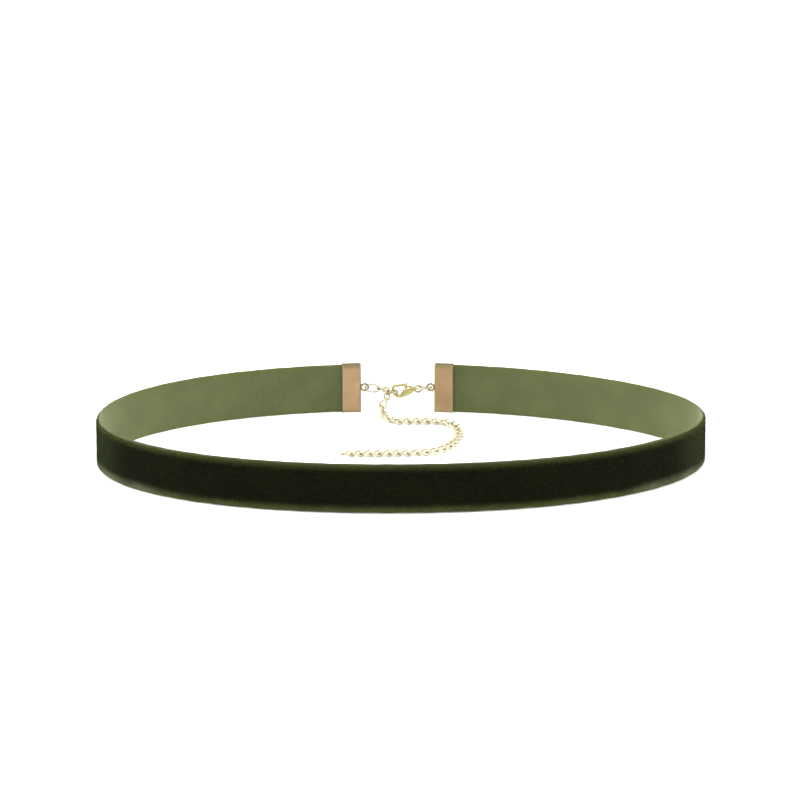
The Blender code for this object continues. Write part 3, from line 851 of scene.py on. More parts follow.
@dataclass
class VelvetRibbon:
    """The ribbon: woven ground with selvages, and the pile that stands on its outside."""

    plan: LoopPlan
    velvet: Material
    tips: Material
    ground: Material
    width: float = 12.7 * MM
    ground_thickness: float = 0.50 * MM
    ground_wall: float = 1.2 * MM
    ground_levels: int = 6
    bead_steps: int = 8
    uneven: float = 0.07 * MM
    uneven_waves: Pair = (1.1 * MM, 3.7 * MM)
    pile_height: float = 0.70 * MM
    pinched_pile: float = 0.25 * MM
    root_depth: float = 0.03 * MM
    selvage: float = 0.60 * MM
    pile_set_back: float = 0.05 * MM
    pile_wander: float = 0.06 * MM
    wander_waves: Pair = (2.3 * MM, 0.9 * MM)
    shoulder: float = 0.30 * MM
    shoulder_most: float = 0.8
    shoulder_steps: int = 5
    pile_levels: int = 9
    end_inset: float = 0.50 * MM
    pinch_end: float = 4.60 * MM
    pinch_ramp: float = 1.60 * MM
    stations: int = 420
    end_stations: int = 24
    past_ramp: float = 0.2 * MM
    fibre_height: float = 0.30 * MM
    fibre_stand: float = 0.75
    fibre_width: float = 0.075 * MM
    fibre_scales: Pair = (0.70, 1.05)
    fibre_lean: float = 0.46
    fibres_per_area: float = 42.0e6
    fibre_stretches: int = 4
    first_seed: int = 11
    bare_root: float = 0.02

    def __post_init__(self) -> None:
        """Work out the running length of the two ends, the whole thickness and the fibres' nodes."""
        left, right = self.plan.folds()
        self.start = left + self.end_inset
        self.end = right - self.end_inset
        self.thickness = self.ground_thickness + self.pile_height
        self.root_share = 1.0 - (self.pile_height + self.root_depth) / self.thickness
        self.fibre_nodes = self.fibre_tree()

    def places(self) -> np.ndarray:
        """List the stations along the ribbon.

        Returns:
            Running lengths, closer together where the crimps pinch the pile.
        """
        ramp = np.linspace(0.0, self.pinch_end + self.pinch_ramp + self.past_ramp, self.end_stations)
        middle = np.linspace(self.start + ramp[-1], self.end - ramp[-1], self.stations)[1:-1]
        return np.concatenate([self.start + ramp, middle, (self.end - ramp)[::-1]])

    def pile_share(self, place: float) -> float:
        """Say how far the pile stands up at a station.

        Args:
            place: running length.

        Returns:
            0 where a crimp pinches it, 1 where it is free.
        """
        share = (min(place - self.start, self.end - place) - self.pinch_end) / self.pinch_ramp
        share = min(max(share, 0.0), 1.0)
        return share * share * (3.0 - 2.0 * share)

    def loft(self, name: str, material: Material, section: object) -> Piece:
        """Sweep a section along the ribbon and store its cloth coordinates.

        Args:
            name: the piece's name.
            material: its finish.
            section: function from running length to rows of outward and height.

        Returns:
            The closed piece. Its attribute `cloth` is metres along and up, and share from inside out.
        """
        vertices = []
        cloth = []
        places = self.places()
        for place in places:
            point, normal = self.plan.at(place)
            rows = section(place)
            for outward, height in rows:
                vertices.append((point[0] + normal[0] * outward, point[1] + normal[1] * outward, height))
                cloth.append((place - self.start, height, 1.0 + outward / self.thickness))
        piece = mesh_piece(name, vertices, tube_faces(len(places), len(rows), False), material)
        store(piece.data, "cloth", cloth)
        return piece

    def ground_section(self, place: float) -> Rows:
        """Draw the woven ground's section, with a rounded bead along each selvage.

        Args:
            place: running length.

        Returns:
            Rows of outward and height.
        """
        inner = -(self.ground_thickness + self.pile_height)
        outer = -self.pile_height
        middle = (inner + outer) / 2.0
        half = self.ground_thickness / 2.0
        short, long = self.uneven_waves
        beat = 0.5 + 0.5 * math.sin(place / short) * math.sin(place / long + 0.6)
        trim = self.uneven * beat * self.pile_share(place)
        walls = np.linspace(self.ground_wall, self.width - self.ground_wall, self.ground_levels)
        levels = [float(level) for level in walls]
        bead = arc(self.bead_steps, math.pi)
        rows = []
        for way, edge, wall, heights in (
            (-1.0, trim + half, outer, levels),
            (1.0, self.width - trim - half, inner, levels[::-1]),
        ):
            rows += [(middle + way * half * cosine, edge + way * half * sine) for sine, cosine in bead]
            rows += [(wall, height) for height in heights]
        return rows

    def pile_section(self, place: float) -> Rows:
        """Draw the pile's section under the fibre tips, with soft shoulders.

        Args:
            place: running length.

        Returns:
            Rows of outward and height.
        """
        share = self.pile_share(place)
        root = -self.pile_height - self.root_depth
        under = self.fibre_stand * self.fibre_height * share
        top = -self.pile_height + self.pinched_pile + (self.pile_height - self.pinched_pile) * share - under
        long, short = self.wander_waves
        wander = self.pile_wander * math.sin(place / long) * math.sin(place / short + 1.0) * share
        low = self.selvage + self.pile_set_back + wander
        high = self.width - self.selvage - self.pile_set_back + wander
        bend = min(self.shoulder, (top - root) * self.shoulder_most)
        curve = arc(self.shoulder_steps)
        levels = np.linspace(low + bend, high - bend, self.pile_levels)[1:-1]
        rows = [(root, low)]
        rows += [(top - bend + bend * sine, low + bend * (1.0 - cosine)) for sine, cosine in curve]
        rows += [(top, float(height)) for height in levels]
        rows += [(top - bend + bend * cosine, high - bend + bend * sine) for sine, cosine in curve]
        return rows + [(root, high)]

    def fibre_tree(self) -> Tree:
        """Build the nodes that scatter pile fibres.

        Returns:
            A tree that grows them on a mesh's faces, as densely as the attribute `free` says.
        """
        takes = {"Geometry": Kind.GEOMETRY, "Seed": Kind.WHOLE, "Finish": Kind.FINISH}
        takes |= dict.fromkeys(("Density", "Fibre Height", "Fibre Width", "Lean"), Kind.FLOAT)
        sheet, start, end = open_group("pile_fibres", "GeometryNodeTree", takes, {"Geometry": Kind.GEOMETRY})
        free = sheet.add("GeometryNodeInputNamedAttribute", {"Name": "free"}, data_type="FLOAT")
        scatter = sheet.add("GeometryNodeDistributePointsOnFaces", {
            "Mesh": start["Geometry"],
            "Density": sheet.math("MULTIPLY", free.outputs["Attribute"], start["Density"]),
            "Seed": start["Seed"],
        }, distribute_method="RANDOM")
        sway = sheet.add("FunctionNodeRandomValue", {
            "Min": (-1.0, -1.0, -1.0),
            "Max": (1.0, 1.0, 1.0),
            "Seed": start["Seed"],
        }, data_type="FLOAT_VECTOR")
        lean = sheet.scaled(sway.outputs["Value"], start["Lean"])
        heading = sheet.vector("ADD", scatter.outputs["Normal"], lean)
        upright = sheet.add("FunctionNodeAlignRotationToVector", {"Vector": heading}, axis="Z")
        turned = sheet.add("FunctionNodeRotateRotation", {
            "Rotation": upright.outputs["Rotation"],
            "Rotate By": sheet.join(0.0, 0.0, sheet.chance(0.0, 2.0 * math.pi)),
        }, rotation_space="LOCAL")
        blade = sheet.add("GeometryNodeMeshCone", {
            "Vertices": 3,
            "Radius Top": 0.0,
            "Radius Bottom": start["Fibre Width"],
            "Depth": start["Fibre Height"],
        }, fill_type="NONE")
        up = sheet.axes(sheet.add("GeometryNodeInputPosition").outputs[0])[2]
        tipped = sheet.add("GeometryNodeStoreNamedAttribute", {
            "Geometry": blade.outputs["Mesh"],
            "Name": "tip",
            "Value": sheet.math("DIVIDE", up, start["Fibre Height"]),
        }, data_type="FLOAT", domain="POINT")
        grown = sheet.add("GeometryNodeInstanceOnPoints", {
            "Points": scatter.outputs["Points"],
            "Instance": tipped.outputs["Geometry"],
            "Rotation": turned.outputs["Rotation"],
            "Scale": sheet.chance(*self.fibre_scales),
        })
        sheet.gather(end, grown.outputs["Instances"], start["Finish"], smooth=False)
        return sheet.tree

    def fibres(self, pile: Piece, number: int) -> Piece:
        """Grow the fibres of one stretch of the pile.

        Args:
            pile: the pile under the fibre tips.
            number: the stretch, counted from the left crimp.

        Returns:
            A plain mesh of the stretch's fibres.
        """
        piece = stand(f"velvet_fibres_{number + 1}", pile.data.copy())
        stretch = (self.end - self.start) / self.fibre_stretches
        work = bmesh.new()
        work.from_mesh(piece.data)
        cloth = work.verts.layers.float_vector["cloth"]
        marked = []
        for face in work.faces:
            middle = sum((vertex[cloth] for vertex in face.verts), Vector()) / len(face.verts)
            if middle.z < self.root_share + self.bare_root or int(middle.x / stretch) != number:
                marked.append(face)
        bmesh.ops.delete(work, geom=marked, context="FACES")
        work.to_mesh(piece.data)
        work.free()
        rows = np.zeros(len(piece.data.vertices) * 3, np.float32)
        piece.data.attributes["cloth"].data.foreach_get("vector", rows)
        store(piece.data, "free", [self.pile_share(self.start + along) for along in rows[0::3]])
        return set_inputs(piece, self.fibre_nodes, {
            "Density": self.fibres_per_area,
            "Fibre Height": self.fibre_height,
            "Fibre Width": self.fibre_width / 2.0,
            "Lean": self.fibre_lean,
            "Seed": self.first_seed + number,
            "Finish": self.tips,
        })

    def build(self) -> None:
        """Build the ribbon's pieces."""
        ground = self.loft("ribbon_ground", self.ground, self.ground_section)
        pile = self.loft("velvet_pile", self.velvet, self.pile_section)
        fibres = [self.fibres(pile, number) for number in range(self.fibre_stretches)]
        dress(ground, Body.CHOKER, Slot.VELVET, "velvet_ribbon")
        for piece in (pile, *fibres):
            dress(piece, Body.CHOKER, Slot.VELVET)


@dataclass
class RibbonCrimp:
    """One folded end clamp with its eye.

    Columns of the two lip starts: metres from the back edge, and share of the plate's thickness.
    Columns of the lip's shape: metres from the back edge, and share of the lip's height.
    Edges are bevelled, and stay sharp to the light, from the two angles in degrees.
    """

    plan: LoopPlan
    side: Side
    metal: Material
    length: float = 4.9 * MM
    height: float = 12.6 * MM
    plate: float = 0.40 * MM
    slot_half: float = 0.475 * MM
    middle_offset: float = -0.825 * MM
    ribbon_width: float = 12.7 * MM
    lip: float = 0.14 * MM
    lip_rise: float = 0.16 * MM
    lip_shape: tuple = ((0.34 * MM, 0.9), (0.52 * MM, 0.25), (0.66 * MM, 0.0))
    lip_steps: tuple = (0.35, 0.65, 1.0)
    outer_start: Pair = (0.04 * MM, 0.45)
    inner_start: Pair = (0.02 * MM, 0.25)
    inner_flat: Pair = (0.10 * MM, 0.20 * MM)
    middle_at: float = -2.4 * MM
    outer_bend_at: float = -0.62 * MM
    inner_bend_at: float = -0.9 * MM
    fold_radius: float = 0.55 * MM
    fold_steps: int = 7
    inner_radius: float = 0.30 * MM
    inner_steps: int = 8
    soft_edge: float = 0.07 * MM
    bevelled_from: float = 50.0
    sharp_from: float = 42.0
    levels: int = 13
    eye_reach: float = 0.95 * MM
    eye_radius: float = 1.15 * MM
    eye_hole: float = 0.65 * MM
    eye_plate: float = 0.50 * MM
    eye_rim: float = 0.14 * MM
    rim_steps: int = 4
    hole_rim: float = 0.08 * MM
    hole_steps: int = 3
    eye_segments: int = 64

    def outline(self) -> tuple[Rows, Rows]:
        """Draw one half of the folded sheet, from its lip round to the fold.

        Returns:
            Outer and inner rows of along and outward.
        """
        inner = self.slot_half
        outer = inner + self.plate
        back = -self.length
        outside = [(back + self.outer_start[0], inner + self.plate * self.outer_start[1] + self.lip)]
        for share in self.lip_steps:
            rise = self.lip * math.sin(math.pi / 2.0 * share) * 0.5 + self.lip * 0.5 * share
            outside.append((back + self.lip_rise * share, outer + rise))
        outside += [(back + along, outer + self.lip * share) for along, share in self.lip_shape]
        outside += [(self.middle_at, outer), (self.outer_bend_at, outer)]
        radius = self.fold_radius
        curve = arc(self.fold_steps)[1:]
        outside += [(radius * sine - radius, outer - radius + radius * cosine) for sine, cosine in curve]
        inside = [(back + self.inner_start[0], inner + self.plate * self.inner_start[1])]
        inside += [(back + along, inner) for along in self.inner_flat]
        inside += [(back + along, inner) for along, _ in self.lip_shape]
        inside += [(self.middle_at, inner), (self.inner_bend_at, inner)]
        corner = self.inner_radius
        fold = -self.plate - corner
        curve = arc(self.inner_steps)[1:]
        inside += [(fold + corner * sine, inner - corner + corner * cosine) for sine, cosine in curve]
        return outside, inside

    def placing(self) -> Matrix:
        """Find the crimp's own axes.

        Returns:
            The placing, whose axes point to the clasp, outward and up.
        """
        left, right = self.plan.folds()
        half = self.length / 2.0
        at_left = self.side is Side.LEFT
        point, normal = self.plan.at(left + half if at_left else right - half)
        outward = Vector((normal[0], normal[1], 0.0))
        up = Vector((0.0, 0.0, 1.0))
        along = outward.cross(up) if at_left else up.cross(outward)
        middle = Vector((point[0], point[1], self.ribbon_width / 2.0))
        origin = middle + outward * self.middle_offset + along * half
        return Matrix.Translation(origin) @ Matrix((along, outward, up)).transposed().to_4x4()

    def sheet_metal(self) -> Piece:
        """Build the folded sheet with softened edges.

        Returns:
            The plate in its own axes.
        """
        outside, inside = self.outline()
        outside += [(u, -v) for u, v in reversed(outside)]
        inside += [(u, -v) for u, v in reversed(inside)]
        count = len(outside)
        ring = 2 * count
        levels = np.linspace(-self.height / 2.0, self.height / 2.0, self.levels)
        vertices = [(u, v, level) for level in levels for u, v in outside + inside]
        faces = []
        last = (self.levels - 1) * ring
        for step in range(count - 1):
            for base in range(step, last, ring):
                above = base + ring
                faces.append((base, base + 1, above + 1, above))
                faces.append((base + count, above + count, above + count + 1, base + count + 1))
            faces.append((step, count + step, count + step + 1, step + 1))
            faces.append((last + step, last + step + 1, last + count + step + 1, last + count + step))
        end = count - 1
        for base in range(0, last, ring):
            above = base + ring
            faces.append((base, above, above + count, base + count))
            faces.append((base + end, base + count + end, above + count + end, above + end))
        plate = mesh_piece(f"ribbon_crimp_{self.side.value}", vertices, faces, self.metal)
        bevel = plate.modifiers.new("soft_edges", "BEVEL")
        bevel.width = self.soft_edge
        bevel.segments = 2
        bevel.angle_limit = math.radians(self.bevelled_from)
        return keep_result(plate)

    def eye(self) -> Piece:
        """Build the flat eye at the fold.

        Returns:
            The eye in the crimp's axes.
        """
        half = self.eye_plate / 2.0
        rim = self.eye_rim
        hole = self.hole_rim
        inset = self.eye_radius - rim
        curve = arc(self.rim_steps)
        section = [(inset + rim * sine, rim - half - rim * cosine) for sine, cosine in curve]
        section += [(distance, -across) for distance, across in reversed(section)]
        opening = self.eye_hole
        curve = arc(self.hole_steps)
        rows = [(opening + hole * (1.0 - sine), half - hole * (1.0 - cosine)) for sine, cosine in curve]
        section += rows + [(distance, -across) for distance, across in reversed(rows)]
        middle = (self.eye_reach, 0.0)
        vertices = [spun(middle, *row, angle) for angle in circle(self.eye_segments, 0.5) for row in section]
        faces = tube_faces(self.eye_segments, len(section), True)
        return mesh_piece("crimp_eye", vertices, faces, self.metal)

    def build(self) -> None:
        """Build, place and dress the crimp."""
        piece = self.sheet_metal()
        combine(piece, self.eye(), "UNION")
        shares = []
        for vertex in piece.data.vertices:
            along, outward, up = vertex.co
            shares.append((2.0 * along / self.length + 1.0, outward, 2.0 * up / self.height))
        store(piece.data, "plate", shares)
        placing = self.placing()
        piece.data.transform(placing)
        if placing.determinant() < 0.0:
            piece.data.flip_normals()
        piece.data.set_sharp_from_angle(angle=math.radians(self.sharp_from))
        dress(piece, Body.CHOKER, Slot.CRIMP, f"crimp_{self.side.value}")


@dataclass
class JumpRing:
    """One ring bent from round wire, its two cut ends butted together.

    Columns of the cut ends: turn past the cut, and share of the wire's radius. The seam's place is in
    degrees.
    """

    node: str
    seam_at: float
    metal: Material
    radius: float = 1.80 * MM
    wire: float = 0.29 * MM
    gap: float = 0.05 * MM
    cut_ends: tuple = ((0.0, 0.55), (0.012, 0.86), (0.03, 1.0))
    past_cut: float = 0.06
    segments: int = 96
    sides: int = 20

    def build(self) -> None:
        """Build the ring where its CAD node lies."""
        middle, turn = node_axes(self.node)
        seam = math.radians(self.seam_at)
        half = self.gap / self.radius / 2.0
        rows = [(half + past, share) for past, share in self.cut_ends]
        cut = list(reversed(rows))
        rest = np.linspace(half + self.past_cut, 2.0 * math.pi - half - self.past_cut, self.segments)
        rows += [(float(angle), 1.0) for angle in rest]
        rows += [(2.0 * math.pi - angle, share) for angle, share in cut]
        vertices = []
        for angle, share in rows:
            outward = Vector((math.cos(angle + seam), math.sin(angle + seam), 0.0))
            for around in circle(self.sides):
                local = outward * (self.radius + self.wire * share * math.cos(around))
                local.z = self.wire * share * math.sin(around)
                vertices.append(turn @ local + middle)
        faces = tube_faces(len(rows), self.sides, False)
        dress(mesh_piece(f"wire_{self.node}", vertices, faces, self.metal), Body.CHOKER, Slot.RING, self.node)


@dataclass
class LobsterClasp:
    """Cast hook with its tail ring, sprung lever and riveted pin.

    Columns of the hook, the lever and the thumb tab: along, up, half width and half thickness in mm.
    """

    metal: Material
    hook: tuple = (
        (4.00, 0.18, 0.34, 0.34),
        (3.60, 0.16, 0.52, 0.55),
        (3.10, 0.06, 0.80, 0.80),
        (2.50, -0.10, 1.10, 0.95),
        (1.85, -0.35, 1.15, 0.95),
        (1.15, -1.03, 0.85, 0.85),
        (0.45, -1.55, 0.55, 0.66),
        (-0.35, -1.64, 0.48, 0.52),
        (-1.18, -1.32, 0.44, 0.44),
        (-1.70, -0.50, 0.42, 0.39),
        (-1.77, 0.35, 0.41, 0.37),
        (-1.46, 1.03, 0.37, 0.35),
        (-1.00, 1.32, 0.25, 0.28),
        (-0.80, 1.36, 0.12, 0.14),
    )
    lever: tuple = (
        (2.52, 0.22, 0.22, 0.26),
        (2.15, 0.35, 0.40, 0.33),
        (1.60, 0.86, 0.42, 0.33),
        (0.90, 1.23, 0.39, 0.33),
        (0.10, 1.31, 0.38, 0.33),
        (-0.50, 1.03, 0.30, 0.31),
        (-0.95, 0.72, 0.20, 0.26),
    )
    thumb_tab: tuple = (
        (1.36, 0.95, 0.30, 0.28),
        (1.50, 1.40, 0.28, 0.34),
        (1.62, 1.75, 0.26, 0.40),
        (1.66, 1.93, 0.16, 0.30),
    )
    hook_sides: int = 28
    lever_sides: int = 20
    tab_sides: int = 16
    squareness: float = 0.85
    row_steps: int = 6
    eye_centre: Pair = (4.55 * MM, 0.20 * MM)
    eye_radius: float = 0.88 * MM
    eye_wire: float = 0.27 * MM
    eye_segments: int = 64
    eye_sides: int = 20
    pivot: Pair = (2.15 * MM, 0.35 * MM)
    slot_half: float = 0.42 * MM
    slot_along: Pair = (0.20 * MM, 2.85 * MM)
    slot_up: Pair = (-0.28 * MM, 2.60 * MM)
    pin_radius: float = 0.20 * MM
    pin_half: float = 0.97 * MM
    pin_heads: tuple = ((0.015 * MM, 0.06 * MM), (0.005 * MM, 0.14 * MM), (-0.035 * MM, 0.19 * MM))
    pin_shoulder: float = 0.07 * MM
    pin_sides: int = 24
    casting_grain: float = 0.045 * MM
    polish_share: float = 0.5
    polish_rounds: int = 6

    def sweep(self, name: str, rows: tuple, sides: int) -> Piece:
        """Sweep a rounded section along rows that lie in the clasp's plane.

        Args:
            name: the object's name.
            rows: one of the tables.
            sides: points round the section.

        Returns:
            The closed solid.
        """
        finer = smooth_rows(rows, self.row_steps)
        slopes = np.gradient(finer[:, :2], axis=0)
        power = self.squareness
        vertices = []
        for row, slope in zip(finer, slopes):
            slope = slope / np.linalg.norm(slope)
            for around in circle(sides, 0.5):
                wide = math.copysign(abs(math.cos(around)) ** power, math.cos(around)) * row[2]
                deep = math.copysign(abs(math.sin(around)) ** power, math.sin(around)) * row[3]
                vertices.append(((row[0] - slope[1] * wide) * MM, deep * MM, (row[1] + slope[0] * wide) * MM))
        return mesh_piece(name, vertices, tube_faces(len(finer), sides, False), self.metal)

    def tail_ring(self) -> Piece:
        """Build the ring at the clasp's tail.

        Returns:
            The ring as a solid of its own.
        """
        vertices = []
        for angle in circle(self.eye_segments):
            for around in circle(self.eye_sides):
                distance = self.eye_radius + self.eye_wire * math.cos(around)
                vertices.append(spun(self.eye_centre, distance, self.eye_wire * math.sin(around), angle))
        faces = tube_faces(self.eye_segments, self.eye_sides, True)
        return mesh_piece("tail_ring", vertices, faces, self.metal)

    def slot_block(self) -> Piece:
        """Build the block that cuts the lever's slot.

        Returns:
            The block.
        """
        ways = (-self.slot_half, self.slot_half)
        corners = [(along, across, up) for along in self.slot_along for across in ways for up in self.slot_up]
        faces = [(0, 1, 3, 2), (4, 6, 7, 5), (0, 4, 5, 1), (2, 3, 7, 6), (0, 2, 6, 4), (1, 5, 7, 3)]
        return mesh_piece("lever_slot", corners, faces, self.metal, smooth=False)

    def rivet(self) -> Piece:
        """Build the pin with its two domed heads.

        Returns:
            The pin.
        """
        rows = [(self.pin_half + past, radius) for past, radius in self.pin_heads]
        rows.append((self.pin_half - self.pin_shoulder, self.pin_radius))
        rows += [(-across, radius) for across, radius in reversed(rows)]
        angles = circle(self.pin_sides)
        vertices = [spun(self.pivot, radius, across, angle) for across, radius in rows for angle in angles]
        return mesh_piece("clasp_rivet", vertices, tube_faces(len(rows), self.pin_sides, False), self.metal)

    def soften(self, piece: Piece) -> Piece:
        """Round a cut solid all over, as a casting is.

        Args:
            piece: the solid.

        Returns:
            The piece as one even skin.
        """
        skin = piece.modifiers.new("skin", "REMESH")
        skin.mode = "VOXEL"
        skin.voxel_size = self.casting_grain
        skin.use_smooth_shade = True
        polish = piece.modifiers.new("polish", "CORRECTIVE_SMOOTH")
        polish.factor = self.polish_share
        polish.iterations = self.polish_rounds
        polish.use_only_smooth = True
        return keep_result(piece)

    def finish(self, piece: Piece, body: Body, node: str) -> None:
        """Move a finished piece from the clasp's plane to its place and dress it.

        Args:
            piece: the piece, whose pivot goes to the middle of the CAD pin.
            body: the body it moves with.
            node: the CAD node that it replaces.
        """
        low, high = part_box("clasp_pin")
        pivot = Vector((self.pivot[0], 0.0, self.pivot[1]))
        piece.data.transform(Matrix.Translation((low + high) / 2.0 - pivot))
        dress(piece, body, Slot.CLASP, node)

    def build(self) -> None:
        """Build, place and dress the clasp's three pieces."""
        body = self.sweep("clasp_hook", self.hook, self.hook_sides)
        combine(body, self.tail_ring(), "UNION")
        combine(body, self.slot_block(), "DIFFERENCE")
        lever = self.sweep("clasp_trigger", self.lever, self.lever_sides)
        combine(lever, self.sweep("thumb_tab", self.thumb_tab, self.tab_sides), "UNION")
        self.finish(self.soften(body), Body.CHOKER, "clasp_body")
        self.finish(self.soften(lever), Body.LEVER, "clasp_lever")
        self.finish(self.rivet(), Body.CHOKER, "clasp_pin")


@dataclass
class ExtenderChain:
    """Twisted curb links, each laid where its CAD node lies."""

    metal: Material
    nodes: list[str]
    half_length: float = 1.55 * MM
    half_width: float = 1.00 * MM
    twist: float = 0.45 * MM
    wire: float = 0.275 * MM
    segments: int = 56
    sides: int = 14
    darker_tone_links: int = 2

    def link_tree(self) -> Tree:
        """Build the nodes that bend one link from wire.

        Returns:
            A tree that lays a link on each point, turned as the attribute `turn` says.
        """
        takes = {"Geometry": Kind.GEOMETRY, "Finish": Kind.FINISH}
        takes |= dict.fromkeys(("Segments", "Sides"), Kind.WHOLE)
        takes |= dict.fromkeys(("Half Length", "Half Width", "Twist", "Wire Radius"), Kind.FLOAT)
        sheet, start, end = open_group("curb_links", "GeometryNodeTree", takes, {"Geometry": Kind.GEOMETRY})
        round_kind = "GeometryNodeCurvePrimitiveCircle"
        path = sheet.add(round_kind, {"Resolution": start["Segments"], "Radius": 1.0}, mode="RADIUS")
        x, y, _ = sheet.axes(sheet.add("GeometryNodeInputPosition").outputs[0])
        twice = sheet.math("MULTIPLY", sheet.math("MULTIPLY", x, y), 2.0)
        bent = sheet.join(
            sheet.math("MULTIPLY", x, start["Half Length"]),
            sheet.math("MULTIPLY", y, start["Half Width"]),
            sheet.math("MULTIPLY", twice, start["Twist"]),
        )
        shape = sheet.add("GeometryNodeSetPosition", {"Geometry": path.outputs["Curve"], "Position": bent})
        thickness = {"Resolution": start["Sides"], "Radius": start["Wire Radius"]}
        section = sheet.add(round_kind, thickness, mode="RADIUS")
        wire = sheet.add("GeometryNodeCurveToMesh", {
            "Curve": shape.outputs["Geometry"],
            "Profile Curve": section.outputs["Curve"],
        })
        turn = sheet.add("GeometryNodeInputNamedAttribute", {"Name": "turn"}, data_type="FLOAT_VECTOR")
        laid = sheet.add("GeometryNodeInstanceOnPoints", {
            "Points": start["Geometry"],
            "Instance": wire.outputs["Mesh"],
            "Rotation": sheet.add("FunctionNodeEulerToRotation", {0: turn.outputs["Attribute"]}).outputs[0],
        })
        sheet.gather(end, laid.outputs["Instances"], start["Finish"], smooth=True)
        return sheet.tree

    def build(self) -> None:
        """Lay every link and dress the chain."""
        found = [node_axes(name) for name in self.nodes]
        mesh = bpy.data.meshes.new("chain_points")
        mesh.from_pydata([tuple(middle) for middle, _ in found], [], [])
        store(mesh, "turn", [tuple(turn.to_euler()) for _, turn in found])
        # The first links in name order, as many as the count says, take the darker, yellower tone.
        store(mesh, "darker_tone", [1.0 if number < self.darker_tone_links else 0.0 for number in range(len(found))])
        chain = set_inputs(stand("extender_links", mesh), self.link_tree(), {
            "Half Length": self.half_length,
            "Half Width": self.half_width,
            "Twist": self.twist,
            "Wire Radius": self.wire,
            "Segments": self.segments,
            "Sides": self.sides,
            "Finish": self.metal,
        })
        turn_outward(chain.data)
        dress(chain, Body.CHOKER, Slot.CHAIN, *self.nodes)


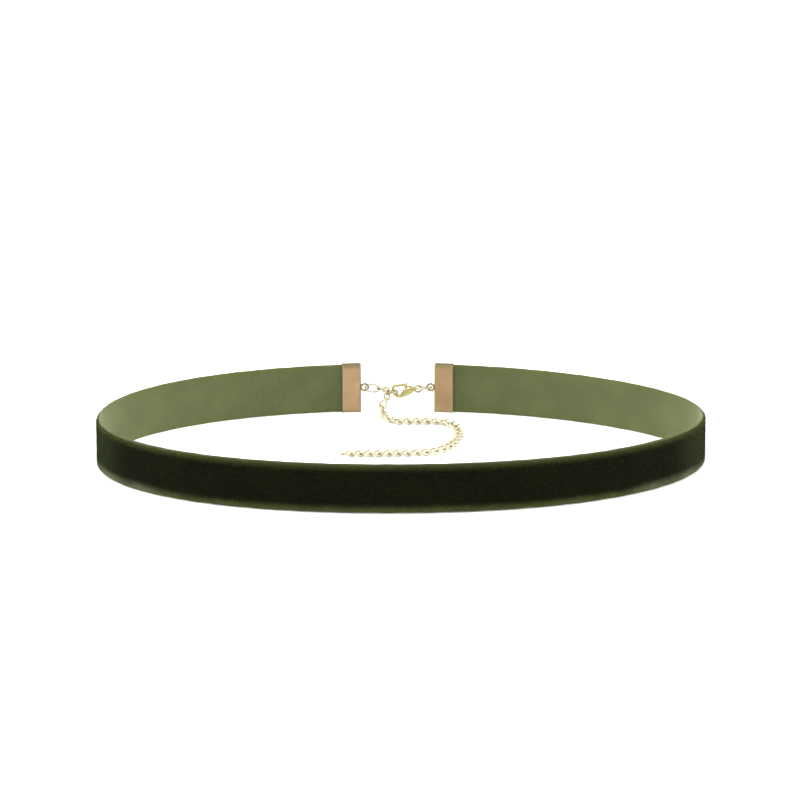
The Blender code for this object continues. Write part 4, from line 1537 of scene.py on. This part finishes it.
@dataclass
class Studio:
    """Pale surface, soft light all round and the camera.

    Columns of the lamps: name, middle, width in metres and power in watts.
    """

    aim: Place = (-0.48 * MM, -1.11 * MM, 6.35 * MM)
    elevation: float = 20.0
    distance: float = 1527.0 * MM
    lens: float = 277.0
    shift: Pair = (0.0010, 0.0469)
    sensor: float = 36.0
    sight: Pair = (0.05, 20.0)
    surface: Colour = (0.93, 0.93, 0.925)
    surface_shade: float = 0.985
    surface_scale: float = 3.0
    surface_half: float = 4.0
    surface_level: float = -0.02 * MM
    sky_band: Pair = (0.02, 0.50)
    sky_light: Pair = (0.30, 1.30)
    lamps: tuple = (
        ("high_soft", (-0.20, -0.40, 1.00), 0.80, 6.5),
        ("left_soft", (-0.90, 0.06, 0.34), 0.50, 10.0),
        ("right_soft", (0.90, 0.06, 0.34), 0.50, 10.0),
    )

    def floor(self) -> None:
        """Lay the pale surface that the choker stands on."""
        material, sheet, shader = shader_sheet("pale_surface")
        shade = tuple(value * self.surface_shade for value in self.surface)
        sheet.fill(shader, {
            "Base Color": sheet.blend(sheet.noise(sheet.place(), self.surface_scale), self.surface, shade),
            "Roughness": 0.9,
            "Specular IOR Level": 0.1,
        })
        ways = ((-1.0, -1.0), (1.0, -1.0), (1.0, 1.0), (-1.0, 1.0))
        corners = [(x * self.surface_half, y * self.surface_half, self.surface_level) for x, y in ways]
        mesh_piece("pale_surface", corners, [(0, 1, 2, 3)], material, smooth=False)

    def world(self) -> None:
        """Fill the surroundings with even light, dimmer near the horizon, so that wire looks round."""
        world = bpy.data.worlds.new("soft_room")
        world.use_nodes = True
        bpy.context.scene.world = world
        sheet = NodeSheet(world.node_tree)
        up = sheet.axes(sheet.add("ShaderNodeTexCoord").outputs["Generated"])[2]
        sheet.fill(world.node_tree.nodes["Background"], {
            "Color": (1.0, 1.0, 1.0, 1.0),
            "Strength": sheet.remap(up, *self.sky_band, *self.sky_light),
        })

    def lamp(self, name: str, place: Place, size: float, watts: float) -> None:
        """Hang one soft lamp that faces the choker.

        Args:
            name: the lamp's name.
            place: its middle in metres.
            size: its width in metres.
            watts: its power.
        """
        light = bpy.data.lights.new(name, "AREA")
        light.shape = "DISK"
        light.size = size
        light.energy = watts
        lamp = stand(name, light)
        lamp.location = place
        lamp.rotation_euler = (-Vector(place)).to_track_quat("-Z", "Y").to_euler()

    def camera(self) -> None:
        """Stand the camera at the photograph's angle."""
        angle = math.radians(self.elevation)
        data = bpy.data.cameras.new("camera")
        data.sensor_width = self.sensor
        data.lens = self.lens
        data.shift_x, data.shift_y = self.shift
        data.clip_start, data.clip_end = self.sight
        camera = stand("camera", data)
        back = Vector((0.0, -math.cos(angle), math.sin(angle)))
        camera.location = Vector(self.aim) + back * self.distance
        camera.rotation_euler = (math.pi / 2.0 - angle, 0.0, 0.0)
        bpy.context.scene.camera = camera

    def build(self) -> None:
        """Set up the floor, light, camera and plain colour handling."""
        self.floor()
        self.world()
        for row in self.lamps:
            self.lamp(*row)
        self.camera()
        bpy.context.scene.view_settings.view_transform = "Standard"
        bpy.context.scene.view_settings.look = "None"


def main() -> None:
    """Load the frame and build every piece in order."""
    logging.basicConfig(level=logging.INFO, format="%(name)s: %(message)s")
    for item in list(bpy.data.objects):
        bpy.data.objects.remove(item)
    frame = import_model()
    plan = LoopPlan()
    marks = handling_group()
    width = VelvetRibbon.width
    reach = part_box("velvet_ribbon")[1][0]
    velvet = VelvetFinish("olive_velvet", width, reach).material()
    tips = VelvetFinish(
        "velvet_tips", width, reach, deep=(0.0060, 0.0074, 0.0020), light=(0.0150, 0.0185, 0.0052)
    ).material()
    ground = BackingFinish("woven_ground", plain_weave_group(), width).material()
    rose = PlatedFinish(
        "rose_plate", marks, (0.362, 0.236, 0.131), (0.307, 0.249, 0.139), 0.36, edge_attribute="plate"
    ).material()
    ring_gold = PlatedFinish(
        "ring_gold", marks, (0.47, 0.46, 0.36), (0.40, 0.39, 0.29), 0.38, smudge_scale=900.0
    ).material()
    clasp_gold = PlatedFinish(
        "clasp_gold", marks, (0.45, 0.405, 0.195), (0.33, 0.30, 0.135), 0.30, smudge_scale=700.0
    ).material()
    chain_gold = PlatedFinish(
        "chain_gold",
        marks,
        (0.56, 0.52, 0.36),
        (0.49, 0.45, 0.30),
        0.40,
        smudge_scale=700.0,
        darker_tone_attribute="darker_tone",
    ).material()
    VelvetRibbon(plan, velvet, tips, ground).build()
    for side in Side:
        RibbonCrimp(plan, side, rose).build()
    JumpRing("jump_ring_left", 100.0, ring_gold).build()
    JumpRing("jump_ring_right", 75.0, ring_gold).build()
    LobsterClasp(clasp_gold).build()
    links = sorted(name for name in frame["nodes"] if name.startswith("chain_link_"))
    ExtenderChain(chain_gold, links).build()
    Studio().build()


if __name__ == "__main__":
    main()
